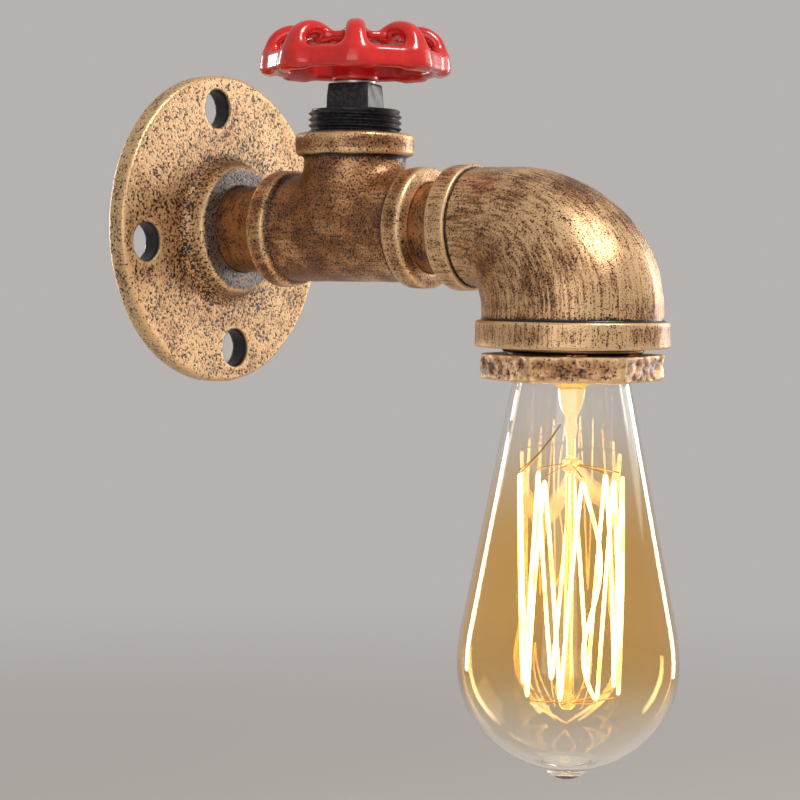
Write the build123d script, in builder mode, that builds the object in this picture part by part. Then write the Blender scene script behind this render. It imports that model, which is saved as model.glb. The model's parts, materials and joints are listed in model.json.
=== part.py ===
from build123d import *
import os
from math import asin, atan, cos, degrees, pi, radians, sin, sqrt, tan

# An industrial wall light made of threaded pipe fittings. Millimetres, +Z up.
# The origin is the centre of the flange's back face, on the wall. The pipe runs away from the
# wall along -Y, so "out" below is the distance from the wall, and "up" is the height above
# the pipe's axis. The elbow turns the pipe down to the lamp.

# ---------------------------------------------------------------- driving dimensions

# pipe and its threads
pipe_diameter = 26.9
pipe_bore_diameter = 21.7
pipe_thread_pitch = 1.814
thread_room = 0.05            # radial room in a thread that is made up tight
nipple_chamfer = 0.6

# wall flange
flange_diameter = 97.4
flange_thickness = 6.4
flange_edge_radius = 1.5
flange_draft = 0.3            # the rim is this much smaller in radius at its front
screw_rim_distance = 10.4      # rim to the circle of the screws' centres
screw_hole_diameter = 11.6
screw_hole_count = 4
screw_pattern_turn = 6.8      # degrees, seen from the front
screw_hole_rounding = 0.5
hub_height = 6.8
hub_root_diameter = 43.6
hub_front_diameter = 39.6
hub_root_radius = 2.4
back_recess_diameter = 60.0
back_recess_depth = 3.2
nipple_setback = 4.0          # wall plane to the rear nipple's end

# tee
tee_out = 56.8
tee_half_length = 28.5
tee_band_diameter = 36.3
tee_band_width = 6.5
tee_run_diameter = 32.6
tee_neck_diameter = 31.2
tee_blend_radius = 2.5
fitting_edge_radius = 1.1
port_depth = 13.0
passage_diameter = 23.0

# plug in the tee's branch
plug_diameter = 28.5
plug_thread_height = 0.85
plug_exposed = 7.4
plug_engaged = 11.5
plug_core_diameter = 17.0
plug_core_depth = 12.0
plug_head_side = 13.8
plug_head_top_side = 12.9
plug_head_height = 8.0
plug_head_turn = 13.6
plug_head_edge_radius = 0.7

# handwheel and its spindle
spindle_diameter = 6.0
spindle_depth_in_plug = 6.6
spindle_running_gap = 0.05
spindle_chamfer = 0.5
spindle_in_dome = 0.6         # how far the spindle stands into the cap nut's dome
spindle_end_room = 0.2
wheel_end_play = 0.1
spindle_washer_diameter = 12.6
spindle_washer_thickness = 0.6
wheel_diameter = 57.5         # over the skirt's rounded corners
wheel_rib_count = 8
wheel_turn = 35.8             # degrees from +X to the first rib
wheel_hub_diameter = 14.0
wheel_height = 16.8           # hub's underside to the ribs' tops
wheel_skirt_lift = 2.3        # hub's underside to the skirt's lower edge
wheel_skirt_height = 6.2
wheel_skirt_wall = 3.6
wheel_skirt_lean = 8.0
wheel_skirt_corner_radius = 6.0
wheel_skirt_inner_radius = 5.0
wheel_rib_width = 5.6
wheel_rib_thickness = 4.6
wheel_rib_crest_diameter = 37.6
wheel_rib_in_plate = 2.0      # overlap of each rib with the plate's rim
wheel_rib_foot_gain = 0.4     # the rib is this much thinner where it meets the skirt
wheel_rib_crest_gain = 0.6    # its underside crests this much nearer the axis
wheel_rib_edge_radius = 1.7
wheel_window_edge_radius = 1.2
wheel_plate_diameter = 28.0
wheel_plate_thickness = 2.6
wheel_plate_drop = 3.0        # ribs' tops to the plate's upper face
wheel_nut_seat_depth = 4.4
wheel_nut_seat_diameter = 11.8
cap_nut_width = 9.0
cap_nut_flat_height = 2.6
cap_nut_dome_height = 2.4
cap_nut_dome_step = 0.4

# reducing elbow
elbow_gap = 9.0               # tee's end face to the elbow's small end face
elbow_small_band_diameter = 37.2
elbow_small_band_width = 6.6
elbow_small_neck_diameter = 34.8
elbow_small_neck_length = 0.7
elbow_centre_to_face = 39.5
elbow_large_band_diameter = 55.8
elbow_large_band_width = 7.6
elbow_large_neck_diameter = 52.2
elbow_drop = 34.3             # pipe axis to the large end face
elbow_large_neck_length = 3.2
elbow_port_depth = 12.5
elbow_cavity_diameter = 38.0
elbow_shoulder_drop = 17.0    # pipe axis to the shoulder above the large port
elbow_top_flat = 12.5         # level run of the bend's outer line before its quarter ellipse
elbow_sections = 4
elbow_band_chamfer = 1.3

# hexagon bushing
bushing_thread_diameter = 41.9
bushing_thread_pitch = 2.309
bushing_thread_height = 1.2
bushing_gap = 1.8
bushing_flats = 46.0
bushing_hex_height = 7.5
bushing_turn = 2.2
bushing_bore_diameter = 36.0
bushing_engaged = 14.3
bushing_edge_radius = 0.8
bushing_mouth_chamfer = 0.6

# lampholder
collar_diameter = 41.0
collar_thickness = 2.2
washer_bore_diameter = 35.8
holder_diameter = 34.8
holder_neck_diameter = 32.6
holder_top_radius = 3.0
holder_plate_thickness = 4.0
holder_floor_above_collar = 5.8
holder_mouth_above_bushing_face = 3.4
holder_mouth_radius = 0.5
shell_metal = 0.4
shell_flange_width = 1.7
shell_plain_height = 6.0      # above its thread
shell_setback = 1.0           # above the holder's mouth
lamp_thread_pitch = 3.629
lamp_thread_height = 0.9
shell_thread_bore = 26.8
lamp_thread_diameter = 26.2
lamp_thread_turns = 4
contact_gap = 0.15
tongue_width = 6.0
tongue_metal = 0.5
tongue_drop = 2.4
tongue_tail = 2.0             # beyond the rivet
tongue_bend = 2.4             # from the rivet to the first bend
tongue_pad_start = 2.5        # the flat that meets the lamp, from the axis
tongue_pad_end = 3.0
tongue_lip_reach = 4.5
tongue_lip_rise = 1.0
terminal_offset = 8.5
terminal_width = 8.0
terminal_length = 9.0
terminal_height = 6.0
terminal_wire_hole = 1.7
terminal_blind_end = 1.5
terminal_screw_diameter = 2.8
terminal_screw_head = 5.2
terminal_screw_head_height = 1.8
screw_slot_width = 0.8
screw_slot_depth = 0.7
rivet_diameter = 2.4
rivet_head_diameter = 4.0
rivet_head_height = 0.5
rivet_offset = 9.6
rivet_in_terminal = 1.5
fixing_room = 0.05            # radial room round rivets, screws and wires

# leads and cable bush
lead_diameter = 2.6
conductor_diameter = 1.4
conductor_end_room = 1.0
lead_start = 0.5              # wall plane to the leads' ends
lead_apart = 2.4              # from the pipe's axis sideways to each lead, at the wall
lead_low = 4.0                # and down to it
lead_apart_gain = 1.0         # how much wider the leads lie where they leave the pipe
lead_swing = 0.4              # how far both stray from their straight lines
lead_last_run = 17.5          # straight into the terminal
line_lead_wander = 0.5
neutral_lead_wander = -0.4
bush_flange_diameter = 25.4
bush_flange_thickness = 1.6
bush_length = 8.0
bush_bore_diameter = 13.0
bush_mouth_radius = 0.7

# earth terminal in the flange's recess
earth_offset = 17.5
earth_turn = -52.0
earth_screw_diameter = 4.0
earth_screw_length = 5.6
earth_head_diameter = 7.0
earth_head_height = 1.9
earth_washer_diameter = 8.0
earth_washer_thickness = 0.5

# lamp
lamp_length = 144.0
lamp_diameter = 64.0
lamp_neck_diameter = 33.6
lamp_cap_length = 26.4
lamp_skirt_length = 3.6
lamp_skirt_diameter = 26.0
lamp_tip_height = 3.4
lamp_tip_diameter = 14.4
lamp_tip_flare = 1.4          # the tip's root is this much wider
tip_root_rise = 1.0           # and stands this much higher
glass_wall = 1.0
cap_metal = 0.35
cap_edge_step = 0.6           # cap rim to the first thread, and the cap's inward lip
cap_insulator_height = 3.6
cap_contact_diameter = 9.6
cap_contact_height = 1.8
cap_contact_radius = 0.9
insulator_seat = 1.5          # how far the insulator reaches into the cap
insulator_rim = 0.3
insulator_shoulder_drop = 1.2
insulator_land = 0.8          # flat round the contact
seal_shoulder_drop = 0.3
neck_shoulder_height = 2.0
widest_above_tip = 33.6
cone_end_above_tip = 45.2
cone_end_diameter = 61.4
cheek_share = 0.72
cheek_drop = 5.2
tip_sink = 0.5                # how far the tip's root is sunk in the bowl
stem_diameter = 6.0
stem_flare_drop = 1.0         # seal to the flare's top
stem_flare_edge = 1.0
stem_flare_height = 7.0
stem_flare_waist = 1.0        # the flare's foot is this much wider than the stem
stem_taper_height = 3.0
stem_pinch_below_cap = 15.0
stem_rod_diameter = 2.6
stem_button_diameter = 5.0
cage_diameter = 30.0
cage_top_above_tip = 88.8
cage_bottom_above_tip = 24.6
cage_strands = 16
cage_sweep_angle = 330.0
cage_first_angle = 140.0
filament_diameter = 0.5
filament_bend_radius = 0.4
anchor_diameter = 0.45
anchor_slope_height = 2.2
anchor_gap = 0.04

# ---------------------------------------------------------------- places worked out

hub_face_out = flange_thickness + hub_height
tee_back_out = tee_out - tee_half_length
tee_front_out = tee_out + tee_half_length
elbow_face_out = tee_front_out + elbow_gap
lamp_out = elbow_face_out + elbow_centre_to_face
bend_out = elbow_face_out + elbow_small_band_width + elbow_small_neck_length
bend_up = elbow_large_band_width + elbow_large_neck_length - elbow_drop
cavity_out = elbow_face_out + elbow_port_depth
bushing_hex_top = -elbow_drop - bushing_gap
bushing_face_up = bushing_hex_top - bushing_hex_height
bushing_top = -elbow_drop + bushing_engaged
collar_top = bushing_top + collar_thickness
holder_floor = collar_top + holder_floor_above_collar
holder_top = holder_floor + holder_plate_thickness
holder_mouth = bushing_face_up + holder_mouth_above_bushing_face
contact_top = holder_floor - tongue_metal - tongue_drop - contact_gap
tip_up = contact_top - lamp_length
cap_rim_up = contact_top - lamp_cap_length
plug_top = tee_half_length + plug_exposed
head_top = plug_top + plug_head_height
wheel_bottom = head_top + spindle_washer_thickness + wheel_end_play
wheel_top = wheel_bottom + wheel_height
wheel_nut_seat = wheel_top - wheel_plate_drop - wheel_nut_seat_depth
cap_nut_bottom = wheel_nut_seat + wheel_end_play
shell_outer_radius = shell_thread_bore / 2 + lamp_thread_height + shell_metal
holder_bore_radius = shell_outer_radius + fixing_room
pipe_radius = pipe_diameter / 2
port_radius = pipe_radius + thread_room
flange_front_radius = flange_diameter / 2 - flange_draft
screw_circle_radius = flange_diameter / 2 - screw_rim_distance

# (out, up) is drawn in this upright plane through the pipe's axis
side = Plane(origin=(0, 0, 0), x_dir=(0, -1, 0), z_dir=(-1, 0, 0))
pipe_axis = Axis((0, 0, 0), (0, -1, 0))
branch_axis = Axis((0, -tee_out, 0), (0, 0, 1))
lamp_axis = Axis((0, -lamp_out, 0), (0, 0, 1))


def across(out):
    """The plane square to the pipe at this distance from the wall, facing away from it."""
    return Plane(origin=(0, -out, 0), x_dir=(1, 0, 0), z_dir=(0, -1, 0))


def level(out, up):
    """The level plane at this height, centred on the upright axis at this distance out."""
    return Plane(origin=(0, -out, up), x_dir=(1, 0, 0), z_dir=(0, 0, 1))


def bend_plane(centre_out, centre_up, angle):
    """A plane square to the elbow's centre line, turned down by this angle from the pipe."""
    turn = radians(angle)
    outer_side = (0, -sin(turn), cos(turn))
    return Plane(origin=(0, -centre_out, centre_up), x_dir=outer_side, z_dir=(0, -cos(turn), -sin(turn)))


def ridges(start, end, crest, depth, pitch):
    """Points (along, radius) of a thread's crests and roots from start to end."""
    count = max(1, int(abs(end - start) / pitch))
    step = (end - start) / count
    points = []
    for turn in range(count):
        points.append((start + turn * step, crest - depth))
        points.append((start + (turn + 0.5) * step, crest))
    points.append((end, crest - depth))
    return points


def upright(out, points):
    """Points (up, radius) about an upright axis, as (out, up) points of the side plane."""
    return [(out + radius, up) for up, radius in points]


def round_edges(part, radius, tolerance=0.01):
    """The circular edges of this radius."""
    circles = part.edges().filter_by(GeomType.CIRCLE)
    return [edge for edge in circles if abs(edge.radius - radius) < tolerance]


def pick(edges, axis, place, tolerance=0.05):
    """The edges whose centre lies at this place along +Z ("up") or away from the wall ("out")."""
    if axis == "up":
        return [edge for edge in edges if abs(edge.center().Z - place) < tolerance]
    return [edge for edge in edges if abs(-edge.center().Y - place) < tolerance]


# ---------------------------------------------------------------- wall flange and its earth

with BuildPart() as wall_flange:
    with BuildSketch(side):
        with BuildLine():
            Polyline(
                (0, back_recess_diameter / 2),
                (0, flange_diameter / 2),
                (flange_thickness, flange_front_radius),
                (flange_thickness, hub_root_diameter / 2),
                (hub_face_out, hub_front_diameter / 2),
                (hub_face_out, port_radius),
                (back_recess_depth, port_radius),
                (back_recess_depth, back_recess_diameter / 2),
                close=True,
            )
        make_face()
    revolve(axis=pipe_axis)
    rim = round_edges(wall_flange, flange_front_radius)
    fillet(rim, flange_edge_radius)
    hub_root = pick(round_edges(wall_flange, hub_root_diameter / 2), "out", flange_thickness)
    fillet(hub_root, hub_root_radius)
    hub_edge = round_edges(wall_flange, hub_front_diameter / 2)
    fillet(hub_edge, fitting_edge_radius)
    with BuildSketch(across(0)):
        with PolarLocations(screw_circle_radius, screw_hole_count, start_angle=screw_pattern_turn):
            Circle(screw_hole_diameter / 2)
    extrude(amount=flange_thickness, mode=Mode.SUBTRACT)
    hole_mouths = pick(round_edges(wall_flange, screw_hole_diameter / 2), "out", flange_thickness)
    fillet(hole_mouths, screw_hole_rounding)
    with BuildSketch(across(back_recess_depth)):
        with PolarLocations(earth_offset, 1, start_angle=earth_turn):
            Circle(earth_screw_diameter / 2 + fixing_room)
    extrude(amount=earth_screw_length, mode=Mode.SUBTRACT)

with BuildPart() as earth_washer:
    with BuildSketch(across(back_recess_depth)):
        with PolarLocations(earth_offset, 1, start_angle=earth_turn):
            Circle(earth_washer_diameter / 2)
            Circle(earth_screw_diameter / 2 + fixing_room, mode=Mode.SUBTRACT)
    extrude(amount=-earth_washer_thickness)

with BuildPart() as earth_screw:
    with BuildSketch(across(back_recess_depth - earth_washer_thickness)):
        with PolarLocations(earth_offset, 1, start_angle=earth_turn):
            Circle(earth_head_diameter / 2)
    extrude(amount=-earth_head_height)
    with BuildSketch(across(back_recess_depth - earth_washer_thickness)):
        with PolarLocations(earth_offset, 1, start_angle=earth_turn):
            Circle(earth_screw_diameter / 2)
    extrude(amount=earth_screw_length)
    with BuildSketch(across(back_recess_depth - earth_washer_thickness - earth_head_height)):
        with PolarLocations(earth_offset, 1, start_angle=earth_turn):
            Rectangle(screw_slot_width, earth_head_diameter)
    extrude(amount=screw_slot_depth, mode=Mode.SUBTRACT)

# ---------------------------------------------------------------- nipples and cable bush


def tube(start, end):
    """A nipple from start to end along the pipe's axis, chamfered at both ends."""
    with BuildPart() as nipple:
        with BuildSketch(across(start)):
            Circle(pipe_radius)
            Circle(pipe_bore_diameter / 2, mode=Mode.SUBTRACT)
        extrude(amount=end - start)
        chamfer(round_edges(nipple, pipe_radius), nipple_chamfer)
    return nipple


rear_nipple_end = tee_back_out + port_depth
front_nipple_start = tee_front_out - port_depth
rear_nipple = tube(nipple_setback, rear_nipple_end)
front_nipple = tube(front_nipple_start, cavity_out)

with BuildPart() as cable_bush:
    with BuildSketch(across(nipple_setback)):
        Circle(bush_flange_diameter / 2)
    extrude(amount=-bush_flange_thickness)
    with BuildSketch(across(nipple_setback)):
        Circle(pipe_bore_diameter / 2 - fixing_room)
    extrude(amount=bush_length)
    with BuildSketch(across(nipple_setback - bush_flange_thickness)):
        Circle(bush_bore_diameter / 2)
    extrude(amount=bush_flange_thickness + bush_length, mode=Mode.SUBTRACT)
    fillet(round_edges(cable_bush, bush_bore_diameter / 2), bush_mouth_radius)

# ---------------------------------------------------------------- tee

with BuildPart() as tee:
    with BuildSketch(across(tee_back_out)):
        Circle(tee_run_diameter / 2)
    extrude(amount=2 * tee_half_length)
    with BuildSketch(level(tee_out, 0)):
        Circle(tee_neck_diameter / 2)
    extrude(amount=tee_half_length)
    straight_or_round = (GeomType.CIRCLE, GeomType.LINE)
    crotch = [edge for edge in tee.edges() if edge.geom_type not in straight_or_round]
    fillet(crotch, tee_blend_radius)
    for band_out in (tee_back_out, tee_front_out - tee_band_width):
        with BuildSketch(across(band_out)):
            Circle(tee_band_diameter / 2)
        extrude(amount=tee_band_width)
    with BuildSketch(level(tee_out, tee_half_length - tee_band_width)):
        Circle(tee_band_diameter / 2)
    extrude(amount=tee_band_width)
    fillet(round_edges(tee, tee_band_diameter / 2), fitting_edge_radius)
    with BuildSketch(across(tee_back_out)):
        Circle(passage_diameter / 2)
    extrude(amount=2 * tee_half_length, mode=Mode.SUBTRACT)
    for port_out in (tee_back_out, tee_front_out - port_depth):
        with BuildSketch(across(port_out)):
            Circle(port_radius)
        extrude(amount=port_depth, mode=Mode.SUBTRACT)
    with BuildSketch(level(tee_out, 0)):
        Circle(passage_diameter / 2)
    extrude(amount=tee_half_length, mode=Mode.SUBTRACT)
    with BuildSketch(level(tee_out, tee_half_length - plug_engaged)):
        Circle(plug_diameter / 2 + thread_room)
    extrude(amount=plug_engaged, mode=Mode.SUBTRACT)

# ---------------------------------------------------------------- square-head plug

with BuildPart() as pipe_plug:
    plug_bottom = tee_half_length - plug_engaged
    crest_radius = plug_diameter / 2
    thread = ridges(plug_bottom, plug_top, crest_radius, plug_thread_height, pipe_thread_pitch)
    with BuildSketch(side):
        with BuildLine():
            outline = upright(tee_out, thread)
            Polyline([(tee_out, plug_bottom)] + outline + [(tee_out, plug_top)], close=True)
        make_face()
    revolve(axis=branch_axis)
    head_taper = degrees(atan((plug_head_side - plug_head_top_side) / 2 / plug_head_height))
    with BuildSketch(level(tee_out, plug_top)):
        Rectangle(plug_head_side, plug_head_side, rotation=plug_head_turn)
    extrude(amount=plug_head_height, taper=head_taper)
    straight_edges = pipe_plug.edges().filter_by(GeomType.LINE)
    fillet([edge for edge in straight_edges if edge.center().Z > plug_top + 1], plug_head_edge_radius)
    with BuildSketch(level(tee_out, plug_bottom)):
        Circle(plug_core_diameter / 2)
    extrude(amount=plug_core_depth, mode=Mode.SUBTRACT)
    with BuildSketch(level(tee_out, head_top - spindle_depth_in_plug)):
        Circle(spindle_diameter / 2 + thread_room)
    extrude(amount=spindle_depth_in_plug, mode=Mode.SUBTRACT)

# ---------------------------------------------------------------- handwheel and spindle

spindle_top = cap_nut_bottom + cap_nut_flat_height + spindle_in_dome

with BuildPart() as wheel_spindle:
    with BuildSketch(level(tee_out, head_top - spindle_depth_in_plug)):
        Circle(spindle_diameter / 2)
    extrude(amount=spindle_top - head_top + spindle_depth_in_plug)
    chamfer(round_edges(wheel_spindle, spindle_diameter / 2), spindle_chamfer)

with BuildPart() as spindle_washer:
    with BuildSketch(level(tee_out, head_top)):
        Circle(spindle_washer_diameter / 2)
        Circle(spindle_diameter / 2 + spindle_running_gap, mode=Mode.SUBTRACT)
    extrude(amount=spindle_washer_thickness)

with BuildPart() as spindle_cap_nut:
    with BuildSketch(level(tee_out, cap_nut_bottom)):
        RegularPolygon(cap_nut_width / 2, 6, major_radius=False)
    extrude(amount=cap_nut_flat_height)
    dome_foot = cap_nut_bottom + cap_nut_flat_height
    dome_edge = cap_nut_width / 2 - cap_nut_dome_step
    dome_radius = (dome_edge**2 + cap_nut_dome_height**2) / (2 * cap_nut_dome_height)
    dome_centre = dome_foot + cap_nut_dome_height - dome_radius
    half_turn = asin(dome_edge / dome_radius) / 2
    with BuildSketch(side):
        with BuildLine():
            edge_point = (tee_out + dome_edge, dome_foot)
            crown = (tee_out, dome_foot + cap_nut_dome_height)
            halfway = (tee_out + dome_radius * sin(half_turn), dome_centre + dome_radius * cos(half_turn))
            Line((tee_out, dome_foot), edge_point)
            ThreePointArc(edge_point, halfway, crown)
            Line(crown, (tee_out, dome_foot))
        make_face()
    revolve(axis=branch_axis)
    with BuildSketch(level(tee_out, cap_nut_bottom)):
        Circle(spindle_diameter / 2 + thread_room)
    extrude(amount=spindle_top + spindle_end_room - cap_nut_bottom, mode=Mode.SUBTRACT)

skirt_foot = wheel_bottom + wheel_skirt_lift
skirt_top = skirt_foot + wheel_skirt_height
plate_top = wheel_top - wheel_plate_drop
plate_foot = plate_top - wheel_plate_thickness
crest_reach = wheel_rib_crest_diameter / 2
corner_loss = wheel_skirt_corner_radius * (1 / cos(pi / wheel_rib_count) - 1)
foot_edge = wheel_diameter / 2
foot_reach = foot_edge + corner_loss
skirt_top_reach = foot_reach - wheel_skirt_height * tan(radians(wheel_skirt_lean))

with BuildPart() as wheel_rib:
    # one arched rib, standing on +X: up from the skirt, over its crest and down to the plate
    plate_edge = wheel_plate_diameter / 2 - wheel_rib_in_plate
    foot_in = foot_reach - wheel_skirt_wall
    top_edge = skirt_top_reach - corner_loss
    crest_in = crest_reach - wheel_rib_crest_gain
    crest_in_up = wheel_top - wheel_rib_thickness
    bend_in = skirt_top_reach - wheel_rib_thickness + wheel_rib_foot_gain
    crest_height = wheel_top - skirt_top
    with BuildSketch(Plane.XZ):
        with BuildLine():
            Line((plate_edge, plate_foot), (plate_edge, plate_top))
            rise = crest_reach - plate_edge
            EllipticalCenterArc((crest_reach, plate_top), rise, wheel_plate_drop, start_angle=90)
            fall = top_edge - crest_reach
            EllipticalCenterArc((crest_reach, skirt_top), fall, crest_height, start_angle=0)
            Line((top_edge, skirt_top), (foot_edge, skirt_foot))
            Line((foot_edge, skirt_foot), (foot_in, skirt_foot))
            Line((foot_in, skirt_foot), (bend_in, skirt_top))
            arch = bend_in - crest_in
            EllipticalCenterArc((crest_in, skirt_top), arch, crest_in_up - skirt_top, start_angle=0)
            Line((crest_in, crest_in_up), (plate_edge, plate_foot))
        make_face()
    extrude(amount=wheel_rib_width / 2, both=True)
    side_place = 0.49 * wheel_rib_width
    long_edges = [edge for edge in wheel_rib.edges() if abs(edge.center().Y) > side_place]
    outer = [edge for edge in long_edges if edge.center().Z > plate_top or edge.center().X > foot_edge - 1]
    fillet(outer, wheel_rib_edge_radius)
    long_edges = [edge for edge in wheel_rib.edges() if abs(edge.center().Y) > side_place]
    window = [edge for edge in long_edges if abs(edge.center().X - bend_in) < arch]
    window = [edge for edge in window if skirt_foot + 1 < edge.center().Z < plate_top]
    fillet(window, wheel_window_edge_radius)

with BuildPart() as handwheel:
    with BuildSketch(level(tee_out, skirt_foot)):
        RegularPolygon(foot_reach, wheel_rib_count, rotation=wheel_turn)
        fillet(vertices(), wheel_skirt_corner_radius)
    extrude(amount=wheel_skirt_height, taper=wheel_skirt_lean)
    with BuildSketch(level(tee_out, skirt_foot)):
        RegularPolygon(foot_reach - wheel_skirt_wall, wheel_rib_count, rotation=wheel_turn)
        fillet(vertices(), wheel_skirt_inner_radius)
    extrude(amount=wheel_skirt_height, taper=wheel_skirt_lean, mode=Mode.SUBTRACT)
    with BuildSketch(level(tee_out, wheel_bottom)):
        Circle(wheel_hub_diameter / 2)
    extrude(amount=plate_top - wheel_bottom)
    with BuildSketch(level(tee_out, plate_foot)):
        Circle(wheel_plate_diameter / 2)
    extrude(amount=wheel_plate_thickness)
    with Locations((0, -tee_out, 0)):
        with PolarLocations(0, wheel_rib_count, start_angle=wheel_turn):
            add(wheel_rib.part)
    with BuildSketch(level(tee_out, wheel_nut_seat)):
        Circle(wheel_nut_seat_diameter / 2)
    extrude(amount=wheel_nut_seat_depth, mode=Mode.SUBTRACT)
    with BuildSketch(level(tee_out, wheel_bottom)):
        Circle(spindle_diameter / 2 + spindle_running_gap)
    extrude(amount=wheel_nut_seat - wheel_bottom, mode=Mode.SUBTRACT)

# ---------------------------------------------------------------- reducing elbow


with BuildPart() as elbow_cavity:
    # both ports and the passage that bends and widens between them, cut in one go
    cavity_small = passage_diameter / 2
    cavity_large = elbow_cavity_diameter / 2
    cavity_up = -elbow_shoulder_drop
    near_small = -cavity_small - cavity_up
    near_large = lamp_out - cavity_large - cavity_out
    for section in range(elbow_sections):
        share = section / (elbow_sections - 1)
        radius = cavity_small + share * (cavity_large - cavity_small)
        reach = near_small + share * (near_large - near_small) + radius
        turn = radians(90 * share)
        centre = (cavity_out + reach * sin(turn), cavity_up + reach * cos(turn))
        with BuildSketch(bend_plane(*centre, 90 * share)):
            Circle(radius)
    loft()
    with BuildSketch(across(elbow_face_out)):
        Circle(port_radius)
    extrude(amount=elbow_port_depth)
    with BuildSketch(level(lamp_out, -elbow_drop)):
        Circle(bushing_thread_diameter / 2 + thread_room)
    extrude(amount=elbow_drop - elbow_shoulder_drop)


def outer_reach(turn, wide, high):
    """From the bend's pivot to its outer line: a level run, then a quarter of an ellipse."""
    lean = sin(turn) * elbow_top_flat / wide**2
    steep = (sin(turn) / wide) ** 2 + (cos(turn) / high) ** 2
    to_ellipse = (lean + sqrt(lean**2 + steep * (1 - (elbow_top_flat / wide) ** 2))) / steep
    return to_ellipse if to_ellipse * sin(turn) > elbow_top_flat else high / cos(turn)


with BuildPart() as reducing_elbow:
    small_radius = elbow_small_neck_diameter / 2
    large_radius = elbow_large_neck_diameter / 2
    throat_small = -small_radius - bend_up
    throat_large = lamp_out - large_radius - bend_out
    outer_high = small_radius - bend_up
    outer_wide = lamp_out + large_radius - bend_out - elbow_top_flat
    with BuildSketch(across(elbow_face_out)):
        Circle(elbow_small_band_diameter / 2)
    extrude(amount=elbow_small_band_width)
    with BuildSketch(level(lamp_out, -elbow_drop)):
        Circle(elbow_large_band_diameter / 2)
    extrude(amount=elbow_large_band_width)
    fillet(round_edges(reducing_elbow, elbow_small_band_diameter / 2), fitting_edge_radius)
    large_edges = round_edges(reducing_elbow, elbow_large_band_diameter / 2)
    chamfer(pick(large_edges, "up", elbow_large_band_width - elbow_drop), elbow_band_chamfer)
    fillet(pick(large_edges, "up", -elbow_drop), fitting_edge_radius)
    with BuildSketch(across(elbow_face_out)):
        Circle(small_radius)
    extrude(amount=bend_out - elbow_face_out)
    with BuildSketch(level(lamp_out, bend_up)):
        Circle(large_radius)
    extrude(amount=-elbow_drop - bend_up)
    for section in range(elbow_sections):
        share = section / (elbow_sections - 1)
        turn = radians(90 * share)
        throat = throat_small + share * (throat_large - throat_small)
        radius = (outer_reach(turn, outer_wide, outer_high) - throat) / 2
        reach = throat + radius
        centre = (bend_out + reach * sin(turn), bend_up + reach * cos(turn))
        with BuildSketch(bend_plane(*centre, 90 * share)):
            Circle(radius)
    loft()
    add(elbow_cavity.part, mode=Mode.SUBTRACT)

# ---------------------------------------------------------------- hexagon bushing

with BuildPart() as hex_bushing:
    crest = bushing_thread_diameter / 2
    thread = ridges(bushing_hex_top, bushing_top, crest, bushing_thread_height, bushing_thread_pitch)
    with BuildSketch(side):
        with BuildLine():
            outline = upright(lamp_out, thread)
            Polyline([(lamp_out, bushing_hex_top)] + outline + [(lamp_out, bushing_top)], close=True)
        make_face()
    revolve(axis=lamp_axis)
    with BuildSketch(level(lamp_out, bushing_face_up)):
        RegularPolygon(bushing_flats / 2, 6, major_radius=False, rotation=bushing_turn)
        fillet(vertices(), bushing_edge_radius)
    extrude(amount=bushing_hex_height)
    low_edges = pick(hex_bushing.edges(), "up", bushing_face_up)
    centre = Vector(0, -lamp_out, bushing_face_up)
    rim_edges = [edge for edge in low_edges if (edge.center() - centre).length > bushing_thread_diameter / 2]
    fillet(rim_edges, bushing_edge_radius)
    with BuildSketch(level(lamp_out, bushing_face_up)):
        Circle(bushing_bore_diameter / 2)
    extrude(amount=bushing_top - bushing_face_up, mode=Mode.SUBTRACT)
    bore_mouth = pick(round_edges(hex_bushing, bushing_bore_diameter / 2), "up", bushing_face_up)
    chamfer(bore_mouth, bushing_mouth_chamfer)

# ---------------------------------------------------------------- lampholder

with BuildPart() as lampholder_body:
    with BuildSketch(level(lamp_out, holder_mouth)):
        Circle(holder_diameter / 2)
    extrude(amount=bushing_top - holder_mouth)
    with BuildSketch(level(lamp_out, bushing_top)):
        Circle(collar_diameter / 2)
    extrude(amount=collar_thickness)
    with BuildSketch(level(lamp_out, collar_top)):
        Circle(holder_neck_diameter / 2)
    extrude(amount=holder_top - collar_top)
    fillet(pick(round_edges(lampholder_body, holder_neck_diameter / 2), "up", holder_top), holder_top_radius)
    fillet(pick(round_edges(lampholder_body, holder_diameter / 2), "up", holder_mouth), holder_mouth_radius)
    with BuildSketch(level(lamp_out, holder_mouth)):
        Circle(holder_bore_radius)
    extrude(amount=holder_floor - holder_mouth, mode=Mode.SUBTRACT)
    with BuildSketch(level(lamp_out, holder_floor)):
        with Locations((rivet_offset, 0), (-rivet_offset, 0)):
            Circle(rivet_diameter / 2 + fixing_room)
    extrude(amount=holder_plate_thickness, mode=Mode.SUBTRACT)

with BuildPart() as collar_washer:
    with BuildSketch(level(lamp_out, collar_top)):
        Circle(collar_diameter / 2)
        Circle(washer_bore_diameter / 2, mode=Mode.SUBTRACT)
    extrude(amount=-elbow_shoulder_drop - collar_top)

shell_thread_top = holder_floor - shell_plain_height
shell_thread_bottom = shell_thread_top - lamp_thread_turns * lamp_thread_pitch

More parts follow.
